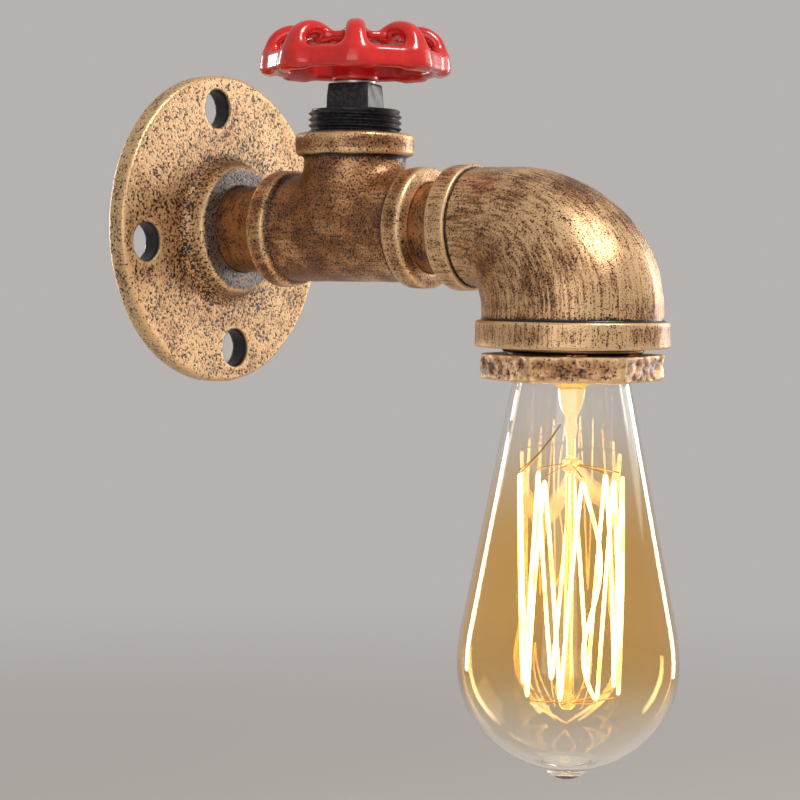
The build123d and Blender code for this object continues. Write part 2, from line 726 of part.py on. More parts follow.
with BuildPart() as lampholder_shell:
    crest = shell_thread_bore / 2
    inner = [(shell_thread_bottom, crest + lamp_thread_height)]
    for turn in range(lamp_thread_turns):
        foot = shell_thread_bottom + turn * lamp_thread_pitch
        inner.append((foot + 0.5 * lamp_thread_pitch, crest))
        inner.append((foot + lamp_thread_pitch, crest + lamp_thread_height))
    outer = [(up, radius + shell_metal) for up, radius in reversed(inner)]
    shell_mouth = holder_mouth + shell_setback
    plain = crest + lamp_thread_height
    loop = [(shell_mouth, plain)] + inner + [(holder_floor - shell_metal, plain)]
    lip = plain - shell_flange_width
    loop += [(holder_floor - shell_metal, lip), (holder_floor, lip), (holder_floor, plain + shell_metal)]
    loop += outer + [(shell_mouth, plain + shell_metal)]
    with BuildSketch(side):
        with BuildLine():
            Polyline(upright(lamp_out, loop), close=True)
        make_face()
    revolve(axis=lamp_axis)
    tab_reach = plain - rivet_offset + rivet_head_diameter / 2
    with BuildSketch(level(lamp_out, holder_floor)):
        with Locations((plain - tab_reach / 2, 0)):
            Rectangle(tab_reach, rivet_head_diameter)
        with Locations((rivet_offset, 0)):
            Circle(rivet_diameter / 2 + fixing_room, mode=Mode.SUBTRACT)
    extrude(amount=-shell_metal)

with BuildPart() as lampholder_tongue:
    tongue_low = holder_floor - tongue_drop
    bend_place = tongue_bend - rivet_offset
    leaf = [(-rivet_offset - tongue_tail, holder_floor), (bend_place, holder_floor)]
    leaf += [(-tongue_pad_start, tongue_low), (tongue_pad_end, tongue_low)]
    leaf += [(tongue_lip_reach, tongue_low + tongue_lip_rise)]
    underside = [(across_leaf, up - tongue_metal) for across_leaf, up in reversed(leaf)]
    with BuildSketch(across(lamp_out)):
        with BuildLine():
            Polyline(leaf + underside, close=True)
        make_face()
    extrude(amount=tongue_width / 2, both=True)
    with BuildSketch(level(lamp_out, holder_floor)):
        with Locations((-rivet_offset, 0)):
            Circle(rivet_diameter / 2 + fixing_room)
    extrude(amount=-tongue_metal, mode=Mode.SUBTRACT)

with BuildPart() as contact_rivets:
    for side_sign, metal in ((1, shell_metal), (-1, tongue_metal)):
        place = (side_sign * rivet_offset, 0)
        with BuildSketch(level(lamp_out, holder_floor - metal)):
            with Locations(place):
                Circle(rivet_head_diameter / 2)
        extrude(amount=-rivet_head_height)
        with BuildSketch(level(lamp_out, holder_floor - metal)):
            with Locations(place):
                Circle(rivet_diameter / 2)
        extrude(amount=metal + holder_plate_thickness + rivet_in_terminal)

wire_up = holder_top + terminal_height / 2
terminal_back_out = lamp_out - terminal_length / 2
terminal_top = holder_top + terminal_height

with BuildPart() as lampholder_terminals:
    for side_sign in (1, -1):
        with BuildSketch(level(lamp_out, holder_top)):
            with Locations((side_sign * terminal_offset, 0)):
                Rectangle(terminal_width, terminal_length)
        extrude(amount=terminal_height)
    for side_sign in (1, -1):
        with BuildSketch(level(lamp_out, holder_top)):
            with Locations((side_sign * rivet_offset, 0)):
                Circle(rivet_diameter / 2 + fixing_room)
        extrude(amount=rivet_in_terminal + fixing_room, mode=Mode.SUBTRACT)
        with BuildSketch(across(terminal_back_out)):
            with Locations((side_sign * terminal_offset, wire_up)):
                Circle(terminal_wire_hole / 2)
        extrude(amount=terminal_length - terminal_blind_end, mode=Mode.SUBTRACT)
        with BuildSketch(level(lamp_out, wire_up)):
            with Locations((side_sign * terminal_offset, 0)):
                Circle(terminal_screw_diameter / 2 + fixing_room)
        extrude(amount=terminal_height / 2, mode=Mode.SUBTRACT)

with BuildPart() as terminal_screws:
    screw_point = wire_up + conductor_diameter / 2 + fixing_room
    for side_sign in (1, -1):
        place = (side_sign * terminal_offset, 0)
        with BuildSketch(level(lamp_out, screw_point)):
            with Locations(place):
                Circle(terminal_screw_diameter / 2)
        extrude(amount=terminal_top - screw_point)
        with BuildSketch(level(lamp_out, terminal_top)):
            with Locations(place):
                Circle(terminal_screw_head / 2)
        extrude(amount=terminal_screw_head_height)
        with BuildSketch(level(lamp_out, terminal_top + terminal_screw_head_height)):
            with Locations(place):
                Rectangle(terminal_screw_head, screw_slot_width)
        extrude(amount=-screw_slot_depth, mode=Mode.SUBTRACT)

# ---------------------------------------------------------------- leads through the pipe


def lead(side_sign, wander):
    """A lead from the wall to its terminal, straight runs joined by wide arcs."""
    aside = (lead_apart, lead_apart + wander, lead_apart + lead_swing - wander)
    low = (lead_low, lead_low + lead_swing + wander, lead_low + lead_apart_gain - wander)
    points = [(side_sign * aside[0], lead_start, -low[0])]
    points.append((side_sign * aside[1], 0.24 * lamp_out, -low[1]))
    points.append((side_sign * aside[2], 0.46 * lamp_out, -low[2]))
    points.append((side_sign * (lead_apart + lead_apart_gain), 0.68 * lamp_out, -lead_low))
    points.append((side_sign * terminal_offset, terminal_back_out - lead_last_run, wire_up))
    points.append((side_sign * terminal_offset, terminal_back_out, wire_up))
    route = [Vector(x, -out, up) for x, out, up in points]
    radii = []
    for before, corner, after in zip(route, route[1:], route[2:]):
        turn = radians((corner - before).get_angle(after - corner))
        shorter = min((corner - before).length, (after - corner).length)
        radii.append(0.45 * shorter / tan(turn / 2))
    print("lead bend radii:", [round(radius) for radius in radii])
    with BuildPart() as wire:
        with BuildLine() as path:
            FilletPolyline(*route, radius=radii)
        with BuildSketch(Plane(origin=path.line @ 0, z_dir=path.line % 0)):
            Circle(lead_diameter / 2)
        sweep()
        with BuildSketch(across(terminal_back_out)):
            with Locations((side_sign * terminal_offset, wire_up)):
                Circle(conductor_diameter / 2)
        extrude(amount=terminal_length - terminal_blind_end - conductor_end_room)
    return wire


line_lead = lead(-1, line_lead_wander)
neutral_lead = lead(1, neutral_lead_wander)

# ---------------------------------------------------------------- lamp

skirt_top_up = cap_rim_up + lamp_skirt_length
insulator_foot = contact_top - cap_contact_height - cap_insulator_height
cap_root = lamp_thread_diameter / 2 - lamp_thread_height

with BuildPart() as bulb_cap:
    crest = lamp_thread_diameter / 2
    start = skirt_top_up
    stop = start + lamp_thread_turns * lamp_thread_pitch
    thread = ridges(start, stop, crest, lamp_thread_height, lamp_thread_pitch)
    skirt_radius = lamp_skirt_diameter / 2
    outer = [(cap_rim_up, skirt_radius), (start - cap_edge_step, skirt_radius)] + thread
    outer += [(insulator_foot, cap_root - cap_edge_step)]
    inner = [(insulator_foot, cap_root - cap_edge_step - cap_metal), (stop, cap_root - cap_metal)]
    inner += [(cap_rim_up, cap_root - cap_metal)]
    with BuildSketch(side):
        with BuildLine():
            Polyline(upright(lamp_out, outer + inner), close=True)
        make_face()
    revolve(axis=lamp_axis)

with BuildPart() as cap_insulator:
    rim_radius = cap_root - cap_edge_step - cap_metal - fixing_room
    insulator_top = contact_top - cap_contact_height
    seat_up = insulator_foot - insulator_seat
    with BuildSketch(side):
        with BuildLine():
            rim_low = (lamp_out + rim_radius, seat_up)
            rim_high = (lamp_out + rim_radius, insulator_foot + insulator_rim)
            land = cap_contact_diameter / 2 + insulator_land
            land_edge = (lamp_out + land, insulator_top)
            shoulder = (lamp_out + (land + rim_radius) / 2, insulator_top - insulator_shoulder_drop)
            Line((lamp_out, seat_up), rim_low)
            Line(rim_low, rim_high)
            ThreePointArc(rim_high, shoulder, land_edge)
            Line(land_edge, (lamp_out, insulator_top))
            Line((lamp_out, insulator_top), (lamp_out, seat_up))
        make_face()
    revolve(axis=lamp_axis)

with BuildPart() as cap_contact:
    with BuildSketch(level(lamp_out, insulator_top)):
        Circle(cap_contact_diameter / 2)
    extrude(amount=cap_contact_height)
    fillet(pick(round_edges(cap_contact, cap_contact_diameter / 2), "up", contact_top), cap_contact_radius)

neck_radius = lamp_neck_diameter / 2
bulb_radius = lamp_diameter / 2
seal_radius = cap_root - cap_metal - fixing_room
seal_top = skirt_top_up
neck_up = cap_rim_up - seal_shoulder_drop - neck_shoulder_height
widest_up = tip_up + widest_above_tip
cone_end_up = tip_up + cone_end_above_tip


def bulb_profile(inset):
    """The envelope's outline set in by a wall.

    From the top: the seat in the cap, an elliptic shoulder, a straight cone, a round cheek
    down to the widest circle, and a half-ellipse bowl.
    """
    seal = seal_radius - inset
    neck = neck_radius - inset
    widest = bulb_radius - inset
    cone_end = cone_end_diameter / 2 - inset
    shoulder_height = neck_shoulder_height - inset
    bowl_height = widest_above_tip - lamp_tip_height + tip_sink - inset
    Line((lamp_out, seal_top), (lamp_out + seal, seal_top))
    Line((lamp_out + seal, seal_top), (lamp_out + seal, neck_up + shoulder_height))
    EllipticalCenterArc((lamp_out + seal, neck_up), neck - seal, shoulder_height, start_angle=0)
    Line((lamp_out + neck, neck_up), (lamp_out + cone_end, cone_end_up))
    cheek = (lamp_out + cone_end + cheek_share * (widest - cone_end), cone_end_up - cheek_drop)
    ThreePointArc((lamp_out + cone_end, cone_end_up), cheek, (lamp_out + widest, widest_up))
    EllipticalCenterArc((lamp_out, widest_up), widest, bowl_height, start_angle=270)
    Line((lamp_out, widest_up - bowl_height), (lamp_out, seal_top))


with BuildPart() as bulb_glass:
    with BuildSketch(side):
        with BuildLine():
            bulb_profile(0)
        make_face()
    revolve(axis=lamp_axis)
    with BuildSketch(side):
        with BuildLine():
            bulb_profile(glass_wall)
        make_face()
    revolve(axis=lamp_axis, mode=Mode.SUBTRACT)
    tip_foot = tip_up + lamp_tip_height
    tip_radius = lamp_tip_diameter / 2
    with BuildSketch(side):
        with BuildLine():
            root = (lamp_out + tip_radius + lamp_tip_flare, tip_foot + tip_root_rise)
            Polyline((lamp_out, tip_foot), root, (lamp_out + tip_radius, tip_foot))
            EllipticalCenterArc((lamp_out, tip_foot), tip_radius, lamp_tip_height, start_angle=270)
            Line((lamp_out, tip_up), (lamp_out, tip_foot))
        make_face()
    revolve(axis=lamp_axis)

cage_top = tip_up + cage_top_above_tip
cage_bottom = tip_up + cage_bottom_above_tip
pinch_up = cap_rim_up - stem_pinch_below_cap
button_up = cage_top + anchor_slope_height
lower_button_up = cage_bottom - anchor_slope_height

with BuildPart() as stem_glass:
    flare = seal_radius - glass_wall - fixing_room
    flare_top = seal_top - stem_flare_drop
    flare_foot = flare_top - stem_flare_edge
    waist_up = flare_foot - stem_flare_height + stem_flare_edge
    waist = stem_diameter / 2 + stem_flare_waist
    rod = stem_rod_diameter / 2
    with BuildSketch(side):
        with BuildLine():
            Line((lamp_out, flare_top), (lamp_out + flare, flare_top))
            Line((lamp_out + flare, flare_top), (lamp_out + flare, flare_foot))
            hollow = (lamp_out + waist + (flare - waist) / 3, waist_up + (flare_foot - waist_up) / 2)
            ThreePointArc((lamp_out + flare, flare_foot), hollow, (lamp_out + waist, waist_up))
            stem_line = [(waist, waist_up), (stem_diameter / 2, pinch_up)]
            stem_line += [(rod, pinch_up - stem_taper_height), (rod, lower_button_up)]
            stem_line += [(0, lower_button_up), (0, flare_top)]
            Polyline([(lamp_out + radius, up) for radius, up in stem_line])
        make_face()
    revolve(axis=lamp_axis)
    for up in (button_up, lower_button_up):
        with Locations((0, -lamp_out, up)):
            Sphere(stem_button_diameter / 2)


def cage_point(strand, up, radius=cage_diameter / 2):
    """The point of the cage where this strand starts, at this height."""
    angle = radians(cage_first_angle + strand * cage_sweep_angle / cage_strands)
    return Vector(radius * cos(angle), -lamp_out + radius * sin(angle), up)


strand_step = cage_diameter * sin(radians(cage_sweep_angle / cage_strands / 2))
half_bend = atan(strand_step / (cage_top - cage_bottom))
bend_overshoot = filament_bend_radius / sin(half_bend) - filament_bend_radius

with BuildPart() as filament:
    corners = []
    for strand in range(cage_strands + 1):
        is_end = strand in (0, cage_strands)
        overshoot = 0 if is_end else bend_overshoot
        up = cage_top + overshoot if strand % 2 == 0 else cage_bottom - overshoot
        corners.append(cage_point(strand, up))
    with BuildLine() as cage_path:
        FilletPolyline(*corners, radius=filament_bend_radius)
    with BuildSketch(Plane(origin=cage_path.line @ 0, z_dir=cage_path.line % 0)):
        Circle(filament_diameter / 2)
    sweep()


def wires(ends, diameter):
    """Straight wires of one diameter, each from a start to an end."""
    with BuildPart() as bundle:
        for start, end in ends:
            with BuildSketch(Plane(origin=start, z_dir=end - start)):
                Circle(diameter / 2)
            extrude(amount=(end - start).length)
    return bundle


def anchors(button_height, hook_height, strands):
    """Wires that fan out from a button of the stem to the filament's bends."""
    reach = cage_diameter / 2 - (filament_diameter + anchor_diameter) / 2 - anchor_gap
    button_edge = stem_button_diameter / 2 + anchor_gap
    ends = []
    for strand in strands:
        start = cage_point(strand, button_height, button_edge)
        ends.append((start, cage_point(strand, hook_height, reach)))
    return wires(ends, anchor_diameter)


upper_anchors = anchors(button_up, cage_top, range(2, cage_strands, 2))
lower_anchors = anchors(lower_button_up, cage_bottom, range(1, cage_strands, 2))
lead_ends = []
for strand in (0, cage_strands):
    wire_start = cage_point(strand, pinch_up, stem_diameter / 2 + anchor_gap)
    lead_ends.append((wire_start, cage_point(strand, cage_top + anchor_diameter, cage_diameter / 2)))
lead_wires = wires(lead_ends, anchor_diameter)

# ---------------------------------------------------------------- export

pieces = {
    "wall_flange": wall_flange,
    "earth_washer": earth_washer,
    "earth_screw": earth_screw,
    "rear_nipple": rear_nipple,
    "cable_bush": cable_bush,
    "tee": tee,
    "pipe_plug": pipe_plug,
    "wheel_spindle": wheel_spindle,
    "spindle_washer": spindle_washer,
    "spindle_cap_nut": spindle_cap_nut,
    "handwheel": handwheel,
    "front_nipple": front_nipple,
    "reducing_elbow": reducing_elbow,
    "hex_bushing": hex_bushing,
    "lampholder_body": lampholder_body,
    "collar_washer": collar_washer,
    "lampholder_shell": lampholder_shell,
    "lampholder_tongue": lampholder_tongue,
    "contact_rivets": contact_rivets,
    "lampholder_terminals": lampholder_terminals,
    "terminal_screws": terminal_screws,
    "line_lead": line_lead,
    "neutral_lead": neutral_lead,
    "bulb_cap": bulb_cap,
    "cap_insulator": cap_insulator,
    "cap_contact": cap_contact,
    "bulb_glass": bulb_glass,
    "stem_glass": stem_glass,
    "lead_wires": lead_wires,
    "upper_anchors": upper_anchors,
    "lower_anchors": lower_anchors,
    "filament": filament,
}

os.makedirs("parts", exist_ok=True)
for name, piece in pieces.items():
    piece.part.label = name
    export_step(piece.part, f"parts/{name}.step")
    print(name, round(piece.part.volume, 1))
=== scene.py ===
# %% [markdown]
# # A wall light of threaded pipe fittings
# A round floor flange carries a short pipe, a tee, a reducing elbow and a hexagon bushing, and
# a pear-shaped filament lamp hangs below. A plug closes the tee's branch, and a red handwheel
# turns on it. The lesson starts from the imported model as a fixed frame. Every piece made here
# takes its place from that frame, so nothing has to be fitted afterwards.

# %% Load the frame
import json
from math import cos, pi, radians, sin, tan

import bpy
import numpy as np
from mathutils import Matrix, Vector


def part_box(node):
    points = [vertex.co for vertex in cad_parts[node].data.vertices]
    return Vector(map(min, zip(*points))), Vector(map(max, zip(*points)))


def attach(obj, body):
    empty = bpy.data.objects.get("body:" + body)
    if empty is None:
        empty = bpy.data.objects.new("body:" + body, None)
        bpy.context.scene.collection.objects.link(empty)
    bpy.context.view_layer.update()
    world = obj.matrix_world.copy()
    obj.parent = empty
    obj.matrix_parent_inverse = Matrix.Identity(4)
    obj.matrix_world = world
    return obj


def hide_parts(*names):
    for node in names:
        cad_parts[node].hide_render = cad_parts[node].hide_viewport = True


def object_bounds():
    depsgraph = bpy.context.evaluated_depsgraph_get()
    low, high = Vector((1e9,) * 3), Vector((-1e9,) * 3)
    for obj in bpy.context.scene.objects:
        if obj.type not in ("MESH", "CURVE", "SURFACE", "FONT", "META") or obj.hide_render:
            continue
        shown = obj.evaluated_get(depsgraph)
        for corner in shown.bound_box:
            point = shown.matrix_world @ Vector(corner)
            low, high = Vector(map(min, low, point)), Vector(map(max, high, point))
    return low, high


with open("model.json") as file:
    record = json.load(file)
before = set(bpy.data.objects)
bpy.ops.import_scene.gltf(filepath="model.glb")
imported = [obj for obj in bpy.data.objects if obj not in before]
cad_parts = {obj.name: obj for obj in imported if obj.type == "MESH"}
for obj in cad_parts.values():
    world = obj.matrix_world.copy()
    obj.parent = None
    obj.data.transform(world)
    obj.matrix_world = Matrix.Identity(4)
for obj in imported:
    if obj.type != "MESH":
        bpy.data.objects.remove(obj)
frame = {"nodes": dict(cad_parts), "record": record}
nodes = frame["nodes"]
cad_low, cad_high = [list(corner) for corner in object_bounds()]

# %% [markdown]
# ## Measures from the frame
# The pipe runs away from the wall along -Y, so "out" is the distance from the wall. The lamp,
# the branch and the pipe each have an axis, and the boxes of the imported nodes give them. Sizes
# are in metres, and mm turns a drawing's number into metres.

# %% Axes and stations
mm = 0.001


def span(node, axis):
    """The lowest and highest value of a node along one axis (0 x, 1 y, 2 z)."""
    low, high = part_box(node)
    return low[axis], high[axis]


def middle(node, axis):
    """The middle of a node's box along one axis."""
    return sum(span(node, axis)) / 2


lamp_y = middle("bulb_glass", 1)
branch_y = middle("pipe_plug", 1)
lamp_axis = np.array([0.0, lamp_y, 0.0])
branch_axis = np.array([0.0, branch_y, 0.0])
for axis_name, axis_y in (("lamp", lamp_y), ("branch", branch_y)):
    print(axis_name, "axis", round(-axis_y / mm, 2), "mm out")

# %% [markdown]
# ## From arrays to meshes
# Most pieces are surfaces of two parameters: a ring of points is worked out for each place
# along a profile or a path, and neighbouring rings are joined by quads. A ring that has shrunk
# to a point is a pole, and its quads become triangles. A closed mesh whose volume comes out
# negative is inside out, so its faces are turned round.

# %% Rings of points to a closed mesh


def ring_faces(rings, loop):
    """Points and faces of rings (count, around, 3 or more). Each point joins the next one round
    its ring and the same one on the next ring. With loop the last ring joins the first. Columns
    after the third are values that travel with their point."""
    count, around = rings.shape[:2]
    index = np.arange(count * around).reshape(count, around)
    pole = np.ptp(rings[..., :3], axis=1).max(axis=1) < 1e-9
    index[pole] = index[pole, :1]
    following = np.roll(index, -1, axis=0) if loop else index[1:]
    here = index if loop else index[:-1]
    quads = np.stack([here, np.roll(here, -1, 1), np.roll(following, -1, 1), following], axis=-1)
    quads = quads.reshape(-1, 4)
    used, compact = np.unique(quads, return_inverse=True)
    quads = compact.reshape(-1, 4)
    low_pole = quads[:, 0] == quads[:, 1]
    high_pole = quads[:, 2] == quads[:, 3]
    faces = quads[~(low_pole | high_pole)].tolist()
    faces += quads[low_pole][:, [0, 2, 3]].tolist() + quads[high_pole][:, [0, 1, 2]].tolist()
    return rings.reshape(-1, rings.shape[-1])[used], faces


def signed_volume(points, faces):
    """The sum over faces of the tetrahedra to the origin. It is negative inside out."""
    corners = np.array([(f[0], f[1], f[2], f[-1]) for f in faces])
    a, b, c, d = (points[corners[:, k]] for k in range(4))
    return float(np.sum(a * (np.cross(b, c) + np.cross(c, d))) / 6)


# %% [markdown]
# ## Wear follows the shape
# On a cast fitting the brushed gold stays on edges that stand proud, and the dark paint stays in
# the corners. Both follow from curvature, so each mesh gets an attribute with it: along an edge
# of the mesh it is how much the normal turns for each metre, and a vertex takes the mean.

# %% A piece from points and faces


def curvature(mesh):
    """Per vertex: the mean over its edges of (difference of normals . edge) / length squared.
    Twice, each value is then moved halfway to the mean of its neighbours, which smooths it."""
    count, edge_count = len(mesh.vertices), len(mesh.edges)
    ends = np.empty(edge_count * 2, int)
    mesh.edges.foreach_get("vertices", ends)
    first, second = ends.reshape(-1, 2).T
    place = np.empty(count * 3)
    mesh.vertices.foreach_get("co", place)
    normal = np.empty(count * 3)
    mesh.vertex_normals.foreach_get("vector", normal)
    place, normal = place.reshape(-1, 3), normal.reshape(-1, 3)
    edge = place[second] - place[first]
    turn = np.sum((normal[second] - normal[first]) * edge, axis=1)
    turn /= np.sum(edge**2, axis=1).clip(1e-12)
    meets = np.bincount(ends, minlength=count).clip(1)
    value = np.bincount(ends, np.repeat(turn, 2), count) / meets
    for _ in range(2):
        summed = np.bincount(first, value[second], count)
        summed += np.bincount(second, value[first], count)
        value = (value + summed / meets) / 2
    return value


def make_piece(name, points, faces, finish, body, slot, node, **masks):
    """A smooth mesh object that rides on a body, stands for a node and carries its curvature.
    A mask is an attribute for the finish: one value, or three, for each point. No point leaves
    the box of the whole lamp."""
    points = np.clip(points, cad_low, cad_high)
    assert np.isfinite(points).all(), name
    if signed_volume(points, faces) < 0:
        faces = [face[::-1] for face in faces]
    mesh = bpy.data.meshes.new(name)
    mesh.from_pydata(points.tolist(), [], faces)
    mesh.shade_smooth()
    mesh.update()
    bend = mesh.attributes.new("bend", "FLOAT", "POINT")
    bend.data.foreach_set("value", curvature(mesh).astype(np.float32))
    for key, values in masks.items():
        kind, field = ("FLOAT", "value") if values.ndim == 1 else ("FLOAT_VECTOR", "vector")
        layer = mesh.attributes.new(key, kind, "POINT")
        layer.data.foreach_set(field, values.astype(np.float32).ravel())
    piece = bpy.data.objects.new(name, mesh)
    bpy.context.scene.collection.objects.link(piece)
    mesh.materials.append(finish)
    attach(piece, body)
    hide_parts(node)
    print(name, len(faces), "faces")


# %% [markdown]
# ## Outlines with round corners
# A turned or cast profile is a few corners, each with its own radius. The helper rounds every
# corner with a curve that touches both of its sides, so a drawing's numbers can be used as they
# are. Cast iron is never quite true either: a sum of fourteen slow waves in seeded directions
# makes the faint hollows and swellings of a sand mould.

# %% Rounded outlines and cast unevenness
wave_count, wave_divisor = 14, 5


def rounded(corners, steps=5):
    """Points along corners (a, b, radius). A corner's arc starts at radius / tan(half the angle)
    before it and ends as far after it: a parabola that touches both sides, close to a circle."""
    corners = [np.array(corner, float) for corner in corners]
    points = [corners[0][:2]]
    for before, corner, after in zip(corners, corners[1:], corners[2:]):
        here, radius = corner[:2], corner[2]
        back, on = before[:2] - here, after[:2] - here
        back_unit, on_unit = back / np.linalg.norm(back), on / np.linalg.norm(on)
        half = np.arccos(np.clip(back_unit @ on_unit, -1, 1)) / 2
        if radius <= 0 or half > 1.55:
            points.append(here)
            continue
        reach = min(radius / tan(half), 0.49 * np.linalg.norm(back), 0.49 * np.linalg.norm(on))
        start, end = here + back_unit * reach, here + on_unit * reach
        for share in np.linspace(0, 1, steps + 1):
            rest = 1 - share
            points.append(rest**2 * start + 2 * share * rest * here + share**2 * end)
    points.append(corners[-1][:2])
    return np.array(points)


def finer(points, longest):
    """The same line with every run divided into equal steps no longer than this."""
    parts = []
    for start, end in zip(points, points[1:]):
        count = max(1, int(np.ceil(np.linalg.norm(end - start) / longest)))
        parts.append(start + np.linspace(0, 1, count, endpoint=False)[:, None] * (end - start))
    return np.vstack([*parts, points[-1:]])


def lumps(points, size, seed):
    """A smooth wandering value of about -1 to 1: a sum of sines across random directions, over
    a divisor that keeps it in that range."""
    random = np.random.default_rng(seed)
    total = np.zeros(points.shape[:-1])
    for _ in range(wave_count):
        direction = random.normal(size=3)
        direction *= random.uniform(0.6, 1.4) / np.linalg.norm(direction)
        total += np.sin(points @ direction * 2 * pi / size + random.uniform(0, 2 * pi))
    return total / wave_divisor


# %% [markdown]
# ## Castings as fields
# A tee or a handwheel is several plain forms that melt into each other, which no single grid of
# two parameters can follow. So its shape is written as a field instead: a function that gives
# the distance to the surface, negative inside the metal. A smooth minimum of two such fields
# joins them with a fillet. The surface is then drawn on a grid of cells, one vertex to each
# cell that it crosses, and every vertex is moved onto the true surface.

# %% Fields


def soft_min(first, second, fillet):
    """The lower of two distances, rounded over this width where they are nearly equal."""
    near = np.maximum(fillet - np.abs(first - second), 0) / fillet
    return np.minimum(first, second) - near**2 * fillet / 4


def soft_max(first, second, fillet):
    """The higher of two distances, rounded in the same way."""
    return -soft_min(-first, -second, fillet)


def rounded_box(across, along, half_width, half_length, radius):
    """Distance to a rectangle about the origin whose corners have this radius."""
    wide = np.abs(across) - half_width + radius
    long = np.abs(along) - half_length + radius
    outside = np.hypot(np.maximum(wide, 0), np.maximum(long, 0))
    return outside + np.minimum(np.maximum(wide, long), 0) - radius


def drawn_surface(field, low, high, step):
    """Points and faces where the field is zero, in the field's own units."""
    axes = [np.arange(start - 2 * step, end + 3 * step, step) for start, end in zip(low, high)]
    grid = np.stack(np.meshgrid(*axes, indexing="ij"), axis=-1)
    strides = [len(axes[1]) * len(axes[2]), len(axes[2]), 1]
    value, place = field(grid).ravel(), grid.reshape(-1, 3)
    total, hits, quads = np.zeros_like(place), np.zeros(len(place)), []
    for axis in range(3):
        ahead, side, up = strides[axis], strides[axis - 2], strides[axis - 1]
        start, end = value[:-ahead], value[ahead:]
        crossing = np.flatnonzero((start < 0) != (end < 0))
        share = start[crossing] / (start[crossing] - end[crossing])
        point = place[crossing] + share[:, None] * (place[crossing + ahead] - place[crossing])
        cells = np.stack([crossing, crossing - side, crossing - side - up, crossing - up], axis=-1)
        for column in cells.T:
            np.add.at(total, column, point)
            np.add.at(hits, column, 1)
        leaving = start[crossing] < 0
        quads += [cells[leaving], cells[~leaving][:, ::-1]]
    used, compact = np.unique(np.vstack(quads), return_inverse=True)
    points = total[used] / hits[used, None]
    for _ in range(3):
        points += settling(field, points, 0.1 * step).clip(-0.5 * step, 0.5 * step)
    return points, compact.reshape(-1, 4).tolist()


def settling(field, points, small):
    """How far each point has to move, along the field's slope, for its value to reach zero."""
    slope = np.empty_like(points)
    for axis in range(3):
        shift = np.zeros(3)
        shift[axis] = small
        slope[:, axis] = (field(points + shift) - field(points - shift)) / (2 * small)
    steep = np.sum(slope**2, axis=1).clip(0.05)
    return -slope * (field(points) / steep)[:, None]


# %% [markdown]
# ## Shader maths in Python
# A finish is easier to read as a formula than as a picture of nodes. Wire wraps one socket, and
# its operators add Math nodes, so 1 - mask or grain * 0.5 can be written down. Every other node
# comes from one method of Finish, which sets the node's own settings before its sockets.

# %% Wire


class Wire:
    """A shader socket that takes part in Python sums."""

    def __init__(self, tree, socket):
        self.tree, self.socket = tree, socket

    def math(self, operation, first, second):
        """A Math node of this operation on two wires or numbers."""
        node = self.tree.nodes.new("ShaderNodeMath")
        node.operation = operation
        for socket, value in zip(node.inputs, (first, second)):
            if isinstance(value, Wire):
                self.tree.links.new(value.socket, socket)
            else:
                socket.default_value = value
        return Wire(self.tree, node.outputs[0])

    def __add__(self, other):
        return self.math("ADD", self, other)

    def __sub__(self, other):
        return self.math("SUBTRACT", self, other)

    def __mul__(self, other):
        return self.math("MULTIPLY", self, other)

    def __truediv__(self, other):
        return self.math("DIVIDE", self, other)

    def __rsub__(self, other):
        return self.math("SUBTRACT", other, self)

    def __pow__(self, other):
        return self.math("POWER", self, other)

    def max(self, other):
        return self.math("MAXIMUM", self, other)

    def min(self, other):
        return self.math("MINIMUM", self, other)

    __radd__ = __add__
    __rmul__ = __mul__


